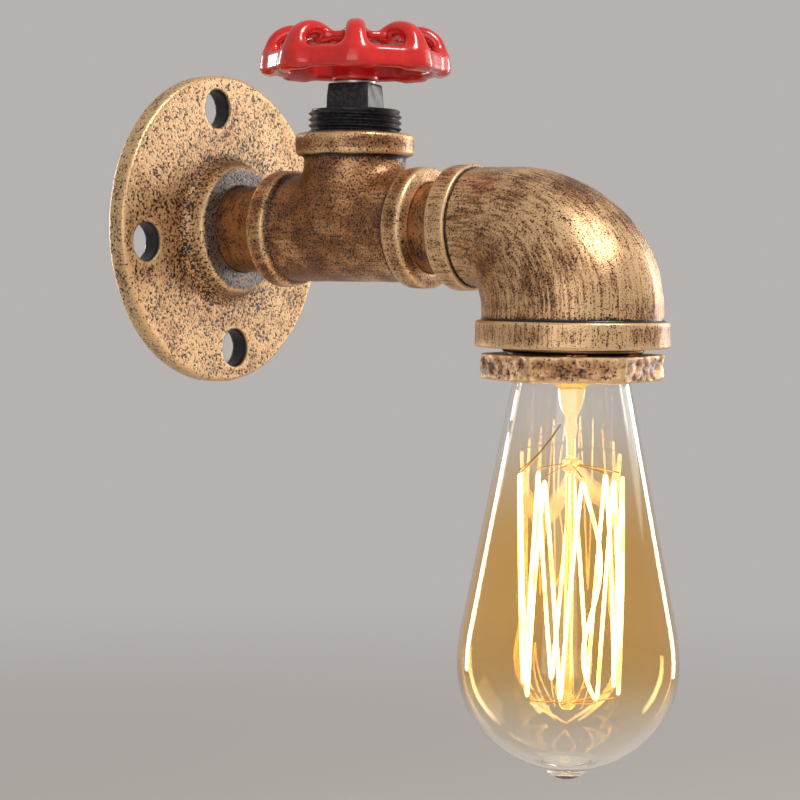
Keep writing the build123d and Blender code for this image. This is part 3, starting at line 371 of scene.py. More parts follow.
# %% Finish
class Finish:
    """A material, its Principled BSDF and the wires that feed it."""

    def __init__(self, name, **constants):
        self.material = bpy.data.materials.new(name)
        self.material.use_nodes = True
        self.tree = self.material.node_tree
        self.tree.nodes.clear()
        self.output = self.node("OutputMaterial")
        self.shader = self.node("BsdfPrincipled", sockets=constants)
        self.tree.links.new(self.shader.outputs[0], self.output.inputs[0])
        self.place = self.wire("TexCoord", "Object")

    def node(self, kind, settings=None, sockets=None):
        """A node of this type with its settings, then the values or links of its sockets."""
        made = self.tree.nodes.new("ShaderNode" + kind)
        for key, value in (settings or {}).items():
            setattr(made, key, value)
        for key, value in (sockets or {}).items():
            if isinstance(value, Wire):
                self.tree.links.new(value.socket, made.inputs[key])
            else:
                made.inputs[key].default_value = value
        return made

    def wire(self, kind, output=0, settings=None, sockets=None):
        """The same, as a wire from one of its outputs."""
        return Wire(self.tree, self.node(kind, settings, sockets).outputs[output])

    def stretch(self, scale):
        """The object's coordinates scaled along each axis."""
        return self.wire("VectorMath", 0, {"operation": "MULTIPLY"}, {0: self.place, 1: scale})

    def noise(self, size, detail=3.0, vector=None, roughness=0.5):
        """Soft noise of about 0 to 1 whose blobs are this many metres across."""
        sockets = {"Vector": vector or self.place, "Scale": 1.0 / size}
        sockets.update({"Detail": detail, "Roughness": roughness})
        return self.wire("TexNoise", 0, {"noise_dimensions": "3D"}, sockets)

    def step(self, value, low, high):
        """A smooth step from 0 at low to 1 at high."""
        sockets = {"Value": value, "From Min": low, "From Max": high}
        return self.wire("MapRange", 0, {"interpolation_type": "SMOOTHSTEP"}, sockets)

    def mix(self, factor, first, second):
        """The first colour where factor is 0, the second where it is 1."""
        ends = [end if isinstance(end, Wire) else (*end, 1.0) for end in (first, second)]
        return self.wire("Mix", 2, {"data_type": "RGBA"}, {0: factor, 6: ends[0], 7: ends[1]})

    def bend(self):
        """The mesh's curvature in turns of the normal for each millimetre."""
        return self.wire("Attribute", "Fac", {"attribute_name": "bend"}) * mm

    def attribute(self, name):
        """One of the mesh's own vectors for each point."""
        return self.wire("Attribute", "Vector", {"attribute_name": name})

    def mask(self, name):
        """One of the mesh's own values for each point."""
        return self.wire("Attribute", "Fac", {"attribute_name": name})

    def distance(self, axis):
        """Metres from the Y axis (1) or the Z axis (2): the root of the other two squared."""
        parts = self.node("SeparateXYZ", sockets={"Vector": self.place})
        first, second = (Wire(self.tree, parts.outputs[k]) for k in {1: (0, 2), 2: (0, 1)}[axis])
        return (first * first + second * second) ** 0.5

    def bump(self, height, distance, strength=1.0):
        """Relief of this many metres between height 0 and 1."""
        sockets = {"Height": height, "Distance": distance, "Strength": strength}
        return self.wire("Bump", 0, None, sockets)

    def feed(self, **wires):
        """Links wires to the shader's sockets. Base_Color stands for Base Color."""
        for key, value in wires.items():
            self.tree.links.new(value.socket, self.shader.inputs[key.replace("_", " ")])
        return self.material


# %% [markdown]
# ## Brushed gold over black
# The fittings are sand castings painted black and then dry-brushed with gold, so the gold takes
# on the tops of the grain and misses its pits. One function makes it for every fitting. Fine
# grain gives the relief and the speckle, and a level decides how much of it shows: patches and
# brush streaks shift the level, proud edges raise it and corners lower it. Here and there, and
# mostly in corners, the brush has missed altogether. Where much gold lies it is cream, and where
# little lies it is brown.

# %% Cast finish
cream = (0.80, 0.53, 0.28)
tan_gold = (0.48, 0.21, 0.070)
rust = (0.25, 0.095, 0.032)
pit_black = (0.010, 0.008, 0.008)
worn_steel = (0.20, 0.18, 0.175)
patch_size, broad_size, bristle = 6 * mm, 24 * mm, 0.9 * mm


def cast_gold(
    name, grain, speckle, cover, paleness, streaks, brush=(1.0, 0.1, 1.0), relief=0.1 * mm, ring=0.0
):
    """Gold over black. speckle is how strongly the grain breaks the gold, cover how much gold
    there is (0 is half), paleness how much of it is cream, streaks how strongly the brush marks
    it along the axis where brush is small, and ring how much thinner it is round the pipe. With
    brush None the marks follow the mesh's own flow."""
    finish = Finish(name)
    fine = finish.noise(grain, 2.0, roughness=0.65) - 0.5
    patch = finish.noise(patch_size, 4.0, roughness=0.6) - 0.5
    broad = finish.noise(broad_size, 2.0) - 0.5
    along = finish.attribute("flow") if brush is None else finish.stretch(brush)
    streak = finish.noise(bristle, 3.0, along, 0.7) - 0.5
    edge = finish.bend()
    proud, corner = edge.max(0.0).min(0.5), edge.min(0.0).max(-0.4)
    wear = patch * 0.45 + broad * 0.35 + streak * streaks + proud * 0.5 + corner + cover
    if ring:
        near_hub = finish.step(finish.distance(1) / mm, 40.0, 25.0)
        wear = wear - near_hub * finish.step(broad + patch * 0.6, -0.1, 0.12) * ring
    missed = finish.step(patch * 0.7 + broad * 0.6 - corner * 0.7, 0.14, 0.28)
    gold = finish.step(fine * speckle + wear - missed * 0.5, -0.06, 0.06)
    pale = finish.step(fine * 0.8 + wear + broad * 0.7 + proud * 0.9 + paleness, -0.05, 0.55)
    tone = finish.mix(finish.step(broad * 0.6 + patch * 0.8, -0.30, 0.20), rust, tan_gold)
    colour = finish.mix(pale, tone, cream)
    if ring:
        steel = finish.mask("steel") * finish.step(streak * 0.6 + fine * 0.2, -0.20, 0.02)
        colour = finish.mix(steel, colour, worn_steel)
        # No gold inside the screw holes: a painted shade in the holes, over black paint the brush
        # missed.
        gold = gold * (1.0 - finish.mask("hole_paint_and_shade"))
    return finish.feed(
        Base_Color=finish.mix(gold, pit_black, colour),
        Metallic=gold * 0.50 + 0.06,
        Roughness=0.30 + gold * 0.08 + fine * 0.15,
        Normal=finish.bump(fine * 0.8 + patch * 0.5, relief, 0.9),
    )


fitting_gold = cast_gold("fitting_gold", 0.55 * mm, 3.4, 0.18, -0.16, 0.8)
elbow_gold = cast_gold("elbow_gold", 0.5 * mm, 3.2, 0.24, -0.06, 1.5, None)
coarse = {"relief": 0.25 * mm, "ring": 0.30}
flange_gold = cast_gold("flange_gold", 0.75 * mm, 3.8, 0.25, 0.12, 0.0, **coarse)
upright = {"brush": (1.0, 1.0, 0.35), "relief": 0.18 * mm}
bushing_gold = cast_gold("bushing_gold", 0.9 * mm, 1.8, 0.14, -0.05, 0.3, **upright)
pipe_gold = cast_gold("pipe_gold", 0.5 * mm, 1.4, 0.08, -0.40, 0.9, (0.3, 1.0, 0.3))
print("cast finishes on", patch_size / mm, "mm patches and", broad_size / mm, "mm drifts")

# %% [markdown]
# ## Plain finishes
# The plug is oiled black iron, the handwheel thick red enamel, and the small parts are plated
# steel, stamped brass and moulded plastic. Each still has a little variation of tone and relief.

# %% Metals, enamel and plastics


def plain_finish(name, colour, darker, rough, size=3 * mm, relief=0.01 * mm, **constants):
    """Two close tones by noise, with a fine relief and a roughness that follows the tone."""
    finish = Finish(name, **constants)
    tone = finish.noise(size, 3.0)
    fine = finish.noise(size / 6, 2.0)
    return finish.feed(
        Base_Color=finish.mix(finish.step(tone + fine * 0.3, 0.45, 0.85), darker, colour),
        Roughness=tone * (rough[1] - rough[0]) + rough[0],
        Normal=finish.bump(tone * 0.6 + fine * 0.4, relief),
    )


bare = {"Metallic": 1.0}
oiled = {"size": 1.2 * mm, "relief": 0.04 * mm, "Metallic": 0.5}
enamel = {"size": 7 * mm, "relief": 0.05 * mm, "Coat Weight": 0.5, "Coat Roughness": 0.12}
plain_rows = [
    ("black_iron", (0.045, 0.047, 0.055), (0.012, 0.012, 0.014), (0.22, 0.5), oiled),
    ("red_enamel", (0.80, 0.016, 0.012), (0.66, 0.009, 0.008), (0.20, 0.30), enamel),
    ("plated_steel", (0.62, 0.62, 0.60), (0.40, 0.40, 0.39), (0.25, 0.45), bare),
    ("black_rubber", (0.03, 0.03, 0.03), (0.015, 0.015, 0.015), (0.6, 0.8), {}),
    ("black_phenolic", (0.035, 0.028, 0.024), (0.018, 0.015, 0.013), (0.2, 0.35), {}),
    ("vulcan_fibre", (0.40, 0.13, 0.07), (0.26, 0.08, 0.045), (0.7, 0.85), {}),
    ("contact_brass", (0.80, 0.60, 0.28), (0.62, 0.44, 0.18), (0.2, 0.4), bare),
    ("lamp_cap_brass", (0.86, 0.70, 0.38), (0.70, 0.54, 0.26), (0.15, 0.32), bare),
    ("brown_insulation", (0.17, 0.075, 0.035), (0.12, 0.05, 0.02), (0.4, 0.55), {}),
    ("blue_insulation", (0.05, 0.14, 0.42), (0.03, 0.09, 0.30), (0.4, 0.55), {}),
    ("black_glass", (0.03, 0.02, 0.03), (0.012, 0.01, 0.012), (0.1, 0.2), {}),
    ("solder", (0.62, 0.62, 0.62), (0.45, 0.45, 0.46), (0.3, 0.5), bare),
    ("nickel_wire", (0.55, 0.42, 0.24), (0.36, 0.25, 0.12), (0.2, 0.4), bare),
    ("molybdenum_wire", (0.60, 0.42, 0.18), (0.42, 0.28, 0.10), (0.25, 0.4), bare),
]
slot_finish = {"antique_brass": fitting_gold}
for name, colour, darker, rough, others in plain_rows:
    slot_finish[name] = plain_finish(name, colour, darker, rough, **others)
print(len(plain_rows), "plain finishes")

# %% [markdown]
# ## The glass and the glow
# The envelope is clear at the neck, smoked amber round the belly and paler again in the bowl,
# so its colour is mixed by height; the pale bowl is a painted glow. The filament glows by itself,
# hotter in some places than in others, and the amber stem has a faint painted glow. The filament
# is far too small to light the fittings, yet every light source takes its share of the samples.
# Both glowing materials are therefore kept off the list of lights, so the samples go to the
# lamps of the studio.

# %% Glass and the lit filament
clear_glass = Finish("clear_glass", **{"Roughness": 0.0, "IOR": 1.45, "Transmission Weight": 1.0})
glass_up = clear_glass.wire("SeparateXYZ", "Z", sockets={"Vector": clear_glass.place}) / mm
belly = clear_glass.step(glass_up, -50.0, -95.0)
# The bowl's paler, less amber colour is a painted glow.
bowl = clear_glass.step(glass_up, -124.0, -146.0)
tint = clear_glass.mix(belly, (1.0, 0.98, 0.95), (1.0, 0.76, 0.40))
clear_glass.feed(Base_Color=clear_glass.mix(bowl, tint, (1.0, 0.97, 0.91)))
# The stem glass's faint orange emission is a painted glow, as if lit by the filament.
stem_tint_and_glow = {"Roughness": 0.05, "IOR": 1.3, "Transmission Weight": 0.95, "Emission Strength": 0.25}
amber_glass = Finish("amber_glass", **stem_tint_and_glow)
amber_glass.shader.inputs["Base Color"].default_value = (1.0, 0.90, 0.62, 1.0)
amber_glass.shader.inputs["Emission Color"].default_value = (1.0, 0.66, 0.20, 1.0)
lit_filament = Finish("lit_filament", **{"Roughness": 0.5, "Emission Strength": 14.0})
lit_filament.shader.inputs["Base Color"].default_value = (1.0, 0.8, 0.4, 1.0)
heat = lit_filament.step(lit_filament.noise(9 * mm, 2.0), 0.3, 0.6)
lit_filament.feed(Emission_Color=lit_filament.mix(heat, (0.60, 0.32, 0.06), (1.0, 0.70, 0.26)))
for glowing in (amber_glass, lit_filament):
    glowing.material.cycles.emission_sampling = "NONE"
    print(glowing.material.name, "glows but is no lamp")

# %% [markdown]
# ## Every piece gets its finish
# The record names a finish for each piece of the light, so one pass over it dresses all the
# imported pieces, the hidden ones in the lampholder too. The pieces that are made again below
# take the same finishes. Only the two lengths of pipe differ from the other brass-painted
# parts: drawn pipe is smoother than sand-cast iron, and the gold on it is thinner.

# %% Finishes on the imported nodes
slot_finish["clear_glass"] = clear_glass.material
slot_finish["amber_glass"] = amber_glass.material
slot_finish["glowing_filament"] = lit_filament.material
for part in frame["record"]["subparts"]:
    shown = nodes[part["node"]].data
    shown.materials.clear()
    shown.materials.append(slot_finish[part["material_slot"]])
for name in ("rear_nipple", "front_nipple"):
    nodes[name].data.materials[0] = pipe_gold
print(len(slot_finish), "finishes on", len(nodes), "nodes")

# %% [markdown]
# ## The handwheel
# A cast handwheel: eight arched ribs rise from a leaning, eight-sided skirt, go over a rounded
# crest and come down to a flat plate round the hub. Eight ribs are one rib in eight mirrors, so
# the field folds the angle round the axis into a single sector and describes only that rib, the
# skirt's side and the round plate and hub.

# %% Handwheel's measures
wheel_low, wheel_high = (np.array(corner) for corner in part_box("handwheel"))
wheel_height = (wheel_high[2] - wheel_low[2]) / mm
wheel_origin = np.array([0.0, branch_y, wheel_low[2]])
rib_count = 8
wheel_turn = radians(35.8)
corner_reach = 28.75
skirt_foot, skirt_height, skirt_wall, skirt_lean = 2.3, 6.2, 3.6, radians(8.0)
skirt_round, corner_softness = 1.5, 1.6
rib_thickness, rib_width, rib_flare, crest_reach = 4.6, 5.8, 2.6, 18.8
plate_reach, plate_thickness, plate_drop = 15.4, 2.6, 3.0
hub_reach, seat_reach, seat_depth, bore_reach = 7.0, 5.9, 4.4, 3.05
print("wheel", 2 * corner_reach, "mm over corners,", round(wheel_height, 2), "mm high")

# %% Handwheel's field


def rib_line():
    """The middle line of a rib as (reach, up): a quarter ellipse up from the plate to the crest,
    a quarter ellipse down to the skirt and a straight foot inside it."""
    crest_up = wheel_height - rib_thickness / 2
    plate_up = wheel_height - plate_drop - plate_thickness / 2
    skirt_up = skirt_foot + skirt_height
    rise, fall = crest_reach - plate_reach + 1.2, corner_reach - crest_reach - 3.4
    turn = np.linspace(0, pi / 2, 9)
    inner = [crest_reach - rise * np.cos(turn), plate_up + (crest_up - plate_up) * np.sin(turn)]
    outer = [crest_reach + fall * np.sin(turn), skirt_up + (crest_up - skirt_up) * np.cos(turn)]
    foot = [[crest_reach + fall + 0.5, skirt_foot + 2.4]]
    return np.vstack([np.transpose(inner), np.transpose(outer)[1:], foot])


def distance_to_line(across, along, line):
    """The distance in a plane to the nearest point of a line of straight runs."""
    best = np.full(across.shape, 1e9)
    for start, end in zip(line, line[1:]):
        run = end - start
        share = ((across - start[0]) * run[0] + (along - start[1]) * run[1]) / (run @ run)
        share = share.clip(0, 1)
        gap = np.hypot(across - start[0] - share * run[0], along - start[1] - share * run[1])
        best = np.minimum(best, gap)
    return best


def wheel_field(point):
    """Millimetres to the handwheel's surface, from the hub's foot."""
    x, y, up = np.moveaxis(point, -1, 0)
    reach = np.hypot(x, y)
    sector = 2 * pi / rib_count
    swing = (np.arctan2(y, x) - wheel_turn + sector / 2) % sector - sector / 2
    along, aside = reach * np.cos(swing), reach * np.sin(swing)
    bar = rib_thickness / 2
    below_top = ((wheel_height - up) / wheel_height).clip(0, 1)
    spread = rib_flare * below_top**2 * (along > crest_reach)
    beyond = np.maximum(np.abs(aside) - rib_width / 2 - spread + bar, 0)
    rib = np.hypot(distance_to_line(along, up, rib_line()), beyond) - bar
    half = sector / 2
    to_side = along * cos(half) + np.sqrt(aside**2 + corner_softness**2) * sin(half)
    flat = (corner_reach + 0.1) * cos(half) + corner_softness * sin(half)
    leaning = to_side - flat + (up - skirt_foot) * tan(skirt_lean) + skirt_wall / 2
    skirt_up = up - skirt_foot - skirt_height / 2
    skirt = rounded_box(leaning, skirt_up, skirt_wall / 2, skirt_height / 2, skirt_round)
    plate_up = up - wheel_height + plate_drop + plate_thickness / 2
    plate = rounded_box(reach, plate_up, plate_reach, plate_thickness / 2, 1.1)
    hub_half = (wheel_height - plate_drop) / 2
    hub = rounded_box(reach, up - hub_half, hub_reach, hub_half, 0.8)
    metal = soft_min(soft_min(rib, skirt, 3.2), soft_min(plate, hub, 2.5), 2.6)
    seat = np.maximum(reach - seat_reach, wheel_height - plate_drop - seat_depth - up)
    return soft_max(soft_max(metal, -seat, 0.6), bore_reach - reach, 0.4)


# %% Handwheel
cell = 0.55
wheel_reach = corner_reach + 1
wheel_start, wheel_end = [-wheel_reach, -wheel_reach, 0], [wheel_reach, wheel_reach, wheel_height]
points, faces = drawn_surface(wheel_field, wheel_start, wheel_end, cell)
points = points * mm + wheel_origin
enamelled = slot_finish["red_enamel"]
make_piece("wheel_casting", points, faces, enamelled, "wheel", "red_enamel", "handwheel")

# %% [markdown]
# ## The tee
# Three banded sockets meet in a soft crotch. The run and the branch are joined with a wide
# fillet, each band with a narrow one, and the passages are taken out last.

# %% Tee
tee_low, tee_high = (np.array(corner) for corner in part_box("tee"))
half_run = (tee_high[1] - tee_low[1]) / 2 / mm
branch_top = tee_high[2] / mm
band_reach = (tee_high[0] - tee_low[0]) / 2 / mm
band_half = 3.25
run_reach, neck_reach = 16.3, 15.6
passage_reach, port_reach, branch_port_reach = 11.5, 13.5, 14.3
port_depth, branch_port_depth = 13.0, 11.5


def tee_field(point):
    """Millimetres to the tee's surface, from the crossing of its axes."""
    x, along, up = np.moveaxis(point, -1, 0)
    from_run, from_branch = np.hypot(x, up), np.hypot(x, along)
    run = rounded_box(from_run, along, run_reach, half_run, 0.8)
    branch = rounded_box(from_branch, up - branch_top / 2, neck_reach, branch_top / 2, 0.8)
    to_run_band = np.abs(along) - half_run + band_half
    run_bands = rounded_box(from_run, to_run_band, band_reach, band_half, 1.2)
    to_branch_band = up - branch_top + band_half
    branch_band = rounded_box(from_branch, to_branch_band, band_reach, band_half, 1.2)
    metal = soft_min(run, branch, 6.0)
    metal = soft_min(soft_min(metal, run_bands, 1.6), branch_band, 1.6)
    metal = metal + 0.12 * lumps(point, 11.0, 3)
    ports = np.maximum(from_run - port_reach, half_run - port_depth - np.abs(along))
    branch_port = np.maximum(from_branch - branch_port_reach, branch_top - branch_port_depth - up)
    branch_passage = np.maximum(from_branch - passage_reach, -up)
    passages = np.minimum(from_run - passage_reach, branch_passage)
    return soft_max(metal, -np.minimum(np.minimum(ports, branch_port), passages), 0.5)


tee_reach = [band_reach, half_run, branch_top]
points, faces = drawn_surface(tee_field, [-band_reach, -half_run, -band_reach], tee_reach, cell)
points = points * mm + branch_axis
make_piece("tee_casting", points, faces, fitting_gold, "root", "antique_brass", "tee")

# %% [markdown]
# ## The reducing elbow
# The elbow is a circle carried along a bent path while it grows, so two parameters are enough:
# how far along the path, and where round the circle. The path runs straight through the small
# band, turns down through a quarter circle and runs straight through the large band. The bore
# comes back the same way, and the two meet at the end faces. A fine ridge down the middle of
# the outer bend is where the two halves of the mould met. The brush went along the bend, so the
# mesh also carries a flow: the distance travelled, shortened, and the place across the path.

# %% Elbow's measures
elbow_low, elbow_high = (np.array(corner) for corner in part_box("reducing_elbow"))
lamp_out = -lamp_y / mm
face_out = -elbow_high[1] / mm
drop = -elbow_low[2] / mm
large_band = (elbow_high[0] - elbow_low[0]) / 2 / mm
small_band, small_neck, large_neck = 18.6, 17.4, 26.1
small_band_width, large_band_width = 6.6, 7.6
bend_out = face_out + small_band_width + 0.7
bend_up = large_band_width + 3.2 - drop
small_port, large_port, small_bore, large_bore = 13.5, 21.0, 11.5, 19.0
cavity_out, shoulder_up = face_out + 12.5, -17.0
around_elbow = np.linspace(0, 2 * pi, 176, endpoint=False)
print("elbow", round(lamp_out - face_out, 2), "mm from its face to the lamp's axis")

# %% Elbow's rings


def circles(centres, turns, radii):
    """Rings of the side view (out, up) points, each square to its own direction. The angle round
    a ring starts on the outer side of the bend."""
    ring_out = np.cos(around_elbow)[None] * np.sin(turns)[:, None] * radii[:, None]
    ring_up = np.cos(around_elbow)[None] * np.cos(turns)[:, None] * radii[:, None]
    out = centres[:, :1] + ring_out
    up = centres[:, 1:] + ring_up
    side = np.sin(around_elbow)[None] * radii[:, None]
    return np.stack([side, -out, up], axis=-1)


def outer_reach(turns, flat, wide, high):
    """How far the bend's outer line is from its pivot: a level run of length flat, then a
    quarter of an ellipse. A ray meets the ellipse where steep R^2 - 2 lean R = spare."""
    lean = np.sin(turns) * flat / wide**2
    steep = (np.sin(turns) / wide) ** 2 + (np.cos(turns) / high) ** 2
    reach = (lean + np.sqrt(lean**2 + steep * (1 - (flat / wide) ** 2))) / steep
    level = high / np.cos(turns).clip(1e-6)
    return np.where(reach * np.sin(turns) > flat, reach, level)


def bend_rings(start_out, end_up, start_radius, end_radius, flat, count):
    """Rings through the quarter turn, each across from the throat to the outer line."""
    turns = np.linspace(0, pi / 2, count)
    throat_start, throat_end = -start_radius - end_up, lamp_out - end_radius - start_out
    throat = throat_start + turns / (pi / 2) * (throat_end - throat_start)
    wide, high = lamp_out + end_radius - start_out - flat, start_radius - end_up
    outer = outer_reach(turns, flat, wide, high)
    arm, radii = (outer + throat) / 2, (outer - throat) / 2
    centres = np.stack([start_out + arm * np.sin(turns), end_up + arm * np.cos(turns)], axis=1)
    return circles(centres, turns, radii)


def straight_rings(outline, downward):
    """Rings along a straight stretch, from points (out or up, radius)."""
    place, radii = outline[:, 0], outline[:, 1]
    fixed = np.full(len(place), lamp_out if downward else 0.0)
    centres = np.stack([fixed, place] if downward else [place, fixed], axis=1)
    return circles(centres, np.full(len(place), pi / 2 if downward else 0.0), radii)


# %% Elbow
small_back, large_back = face_out + small_band_width, large_band_width - drop
outer_flat, inner_flat = 12.5, 4.0
small_end = rounded([
    (face_out, small_port, 0), (face_out, small_band, 1.1), (small_back, small_band, 1.1),
    (small_back + 0.3, small_neck, 0.3), (bend_out, small_neck, 0),
])
large_end = rounded([
    (bend_up, large_neck, 0), (large_back, large_neck, 0.9),
    (large_back, large_band, 1.3), (-drop, large_band, 1.1), (-drop, large_port, 0),
])
large_inside = np.array([(shoulder_up, large_port), (shoulder_up, large_bore)])
small_inside = np.array([
    (cavity_out, small_bore), (cavity_out, small_port), (face_out, small_port),
])
outside = np.vstack([
    straight_rings(finer(small_end, 0.8), False),
    bend_rings(bend_out, bend_up, small_neck, large_neck, outer_flat, 96)[1:-1],
    straight_rings(finer(large_end, 0.8), True),
])
on_bend = (outside[..., 2] > bend_up) & (outside[..., 1] < -bend_out)
ridge_half = 0.55
ridge = np.exp(-((outside[..., 0] / ridge_half) ** 2)) * on_bend
outward = outside - outside.mean(axis=1, keepdims=True)
outward /= np.linalg.norm(outward, axis=-1, keepdims=True)
relief = 0.13 * lumps(outside, 14.0, 5) + 0.22 * ridge - 0.06
outside = outside + outward * relief[..., None]
inside = np.vstack([
    straight_rings(large_inside, True),
    bend_rings(cavity_out, shoulder_up, small_bore, large_bore, inner_flat, 24)[::-1][1:-1],
    straight_rings(small_inside, False),
])
rings = np.vstack([outside, inside])
middle_line = rings.mean(axis=1)
travel = np.concatenate([[0], np.cumsum(np.linalg.norm(np.diff(middle_line, axis=0), axis=1))])
girth = np.linalg.norm(rings[:, 0] - middle_line, axis=1)
flow = np.stack([
    np.repeat(0.09 * travel[:, None], len(around_elbow), axis=1),
    girth[:, None] * np.cos(around_elbow),
    girth[:, None] * np.sin(around_elbow),
], axis=-1)
table, faces = ring_faces(np.concatenate([rings, flow], axis=-1) * mm, loop=True)
points, masks = table[:, :3], {"flow": table[:, 3:]}
make_piece(
    "elbow_casting", points, faces, elbow_gold, "root", "antique_brass", "reducing_elbow", **masks
)

# %% [markdown]
# ## Threads, hexagon and square
# The bushing and the plug are turned forms with flats. A profile goes round the axis, and each
# of its points has a weight that says how much its circle becomes a polygon. A polygon with
# soft corners is the flats' distance divided by a high power mean of the cosines to its normals.
# A thread is a helix: the place along it is shifted by one pitch in a full turn.

# %% Polygons and threads
around = np.linspace(0, 2 * pi, 192, endpoint=False)


def polygon(sides, first_normal, sharpness=26.0):
    """Radius round the axis of a polygon whose flats are 1 from it: the cosines to all normals,
    where positive, are summed to a high power, and the root of that divides 1."""
    normals = first_normal + np.arange(sides) * 2 * pi / sides
    facing = np.cos(around[:, None] - normals[None]).clip(0)
    return np.sum(facing**sharpness, axis=1) ** (-1 / sharpness)


def turned(profile, flats=None, weights=None):
    """Rings (mm) about the vertical axis from (up, radius). With weight 1 a ring takes the shape
    of the flats, with 0 it stays round."""
    up, radius = profile[:, 0], profile[:, 1]
    shape = np.ones((len(profile), len(around)))
    if flats is not None:
        shape = 1 + weights[:, None] * (flats[None] - 1)
    reach = radius[:, None] * shape
    height = np.repeat(up[:, None], len(around), axis=1)
    return np.stack([reach * np.cos(around), reach * np.sin(around), height], axis=-1)


def threaded(start, end, crest, depth, pitch, count):
    """Rings of a helical thread from start to end: the radius is the crest less the depth times
    a triangle wave of (up / pitch + angle / full turn), run out at both ends."""
    up = np.linspace(start, end, count)[:, None]
    phase = (up / pitch + around[None] / (2 * pi)) % 1
    valley = np.abs(2 * phase - 1)
    valley = np.clip(1.25 * valley - 0.12, 0, 1)
    run_out = np.clip(np.minimum(up - min(start, end), max(start, end) - up) / (0.5 * pitch), 0, 1)
    reach = crest - depth * (1 - (1 - valley) * run_out)
    height = np.repeat(up, len(around), axis=1)
    return np.stack([reach * np.cos(around), reach * np.sin(around), height], axis=-1)


# %% [markdown]
# ## The hexagon bushing
# The bushing closes the elbow's large end round the lamp's neck. It is a hexagon with a thread
# above it, one closed run of rings: up the bore's edge, out along the face, over the flats,
# round the thread and back inside. Its flats are left rough from the mould, so two sizes of
# lumps are added where the weight makes the ring a hexagon.

# %% Hexagon bushing
bushing_low, bushing_high = span("hex_bushing", 2)
bushing_face, bushing_top = bushing_low / mm, bushing_high / mm
hex_height, flats_reach, thread_crest, bore = 7.5, 23.0, 20.95, 18.0
hex_top = bushing_face + hex_height
hexagon = polygon(6, radians(32.2), 60.0)
thread_depth, thread_pitch = 1.2, 2.309
under = finer(rounded([
    (bushing_face + 0.6, bore, 0), (bushing_face, bore + 0.6, 0), (bushing_face, flats_reach, 1.0),
    (hex_top, flats_reach, 0.5), (hex_top, thread_crest - thread_depth, 0),
]), 0.6)
weight = ((under[:, 1] - bore - 1.0) / (flats_reach - bore - 2.5)).clip(0, 1)
hex_part = turned(under, hexagon, weight)
rough = 0.26 * lumps(hex_part, 4.5, 8) + 0.16 * lumps(hex_part, 1.9, 9)
hex_part[..., :2] *= 1 + ((rough - 0.15) * weight[:, None] / flats_reach)[..., None]
thread_part = threaded(hex_top, bushing_top, thread_crest, thread_depth, thread_pitch, 90)
inner_part = turned(np.array([(bushing_top, bore), (bushing_face + 0.6, bore)]))[:1]
rings = np.vstack([hex_part, thread_part, inner_part]) * mm + lamp_axis
points, faces = ring_faces(rings, loop=True)
make_piece("bushing_casting", points, faces, bushing_gold, "root", "antique_brass", "hex_bushing")

# %% [markdown]
# ## The square-head plug
# A plug is a thread with a square on top for the spanner. The thread that stays out of the tee
# shows in the gap below the wheel. Three runs of rings follow each other from the blind core,
# round the thread and up over the head, whose square fades into a circle at its foot and in the
# hole for the wheel's spindle.

# %% Square-head plug
plug_low, plug_high = (value / mm for value in span("pipe_plug", 2))
head_height, head_side, head_top_side = 8.0, 13.8, 12.9
plug_top = plug_high - head_height
core_reach, core_depth, crest = 8.5, 12.0, 14.25
spindle_hole, spindle_depth = 3.05, 6.6
square = polygon(4, radians(13.6), 34.0)
core_top, thread_root = plug_low + core_depth, crest - 1.0
core = turned(np.array([
    (core_top, 0), (core_top, core_reach), (plug_low, core_reach), (plug_low, thread_root),
]))
plug_thread = threaded(plug_low, plug_top, crest, 0.95, 1.814, 120)
spindle_foot = plug_high - spindle_depth
head_line = finer(rounded([
    (plug_top, thread_root, 0), (plug_top, head_side / 2, 0.4),
    (plug_high, head_top_side / 2, 0.7), (plug_high, spindle_hole, 0),
    (spindle_foot, spindle_hole, 0), (spindle_foot, 0, 0),
]), 0.5)
from_middle = head_line[:, 1]
beyond_head = from_middle > head_side / 2 + 0.6
squareness = np.where(beyond_head, (crest - from_middle) / 8, 1.0).clip(0, 1)
squareness *= ((from_middle - spindle_hole) / 2).clip(0, 1)
head = turned(head_line, square, squareness)
swelling = 0.012 * lumps(head, 5.0, 12) * squareness[:, None]
head[..., :2] += head[..., :2] * swelling[..., None]
rings = np.vstack([core, plug_thread, head[1:]]) * mm + branch_axis
points, faces = ring_faces(rings, loop=False)
make_piece("plug_iron", points, faces, slot_finish["black_iron"], "root", "black_iron", "pipe_plug")

# %% [markdown]
# ## The wall flange
# A disc and a coned hub melt together with a fillet, then the recess behind, the pipe's port and
# the four screw holes are taken out. The holes are one hole in four turns, so the field folds
# the angle again. Two masks go with the mesh: the insides of the holes are black, a painted shade
# in the recesses over the paint the brush missed, and the hub's end face is worn down to steel.

# %% Flange
flange_low, flange_high = (np.array(corner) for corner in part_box("wall_flange"))
disc_reach, hub_out = flange_high[0] / mm, -flange_low[1] / mm
disc_depth, hub_foot, hub_end = 6.4, 21.8, 19.8
recess_reach, recess_depth, pipe_port = 30.0, 3.2, 13.5
rim_to_hole, hole_reach, hole_turn = 10.4, 5.8, radians(6.8)
# How far from a hole's middle line its painted shade reaches, and over what width it fades.
hole_shade_edge, hole_shade_fade = 6.0, 0.5
hole_circle = disc_reach - rim_to_hole


def hole_distance(x, up):
    """Millimetres to the middle line of the nearest screw hole."""
    swing = (np.arctan2(up, x) - hole_turn + pi / 4) % (pi / 2) - pi / 4
    from_axis = np.hypot(x, up)
    return np.hypot(from_axis * np.cos(swing) - hole_circle, from_axis * np.sin(swing))


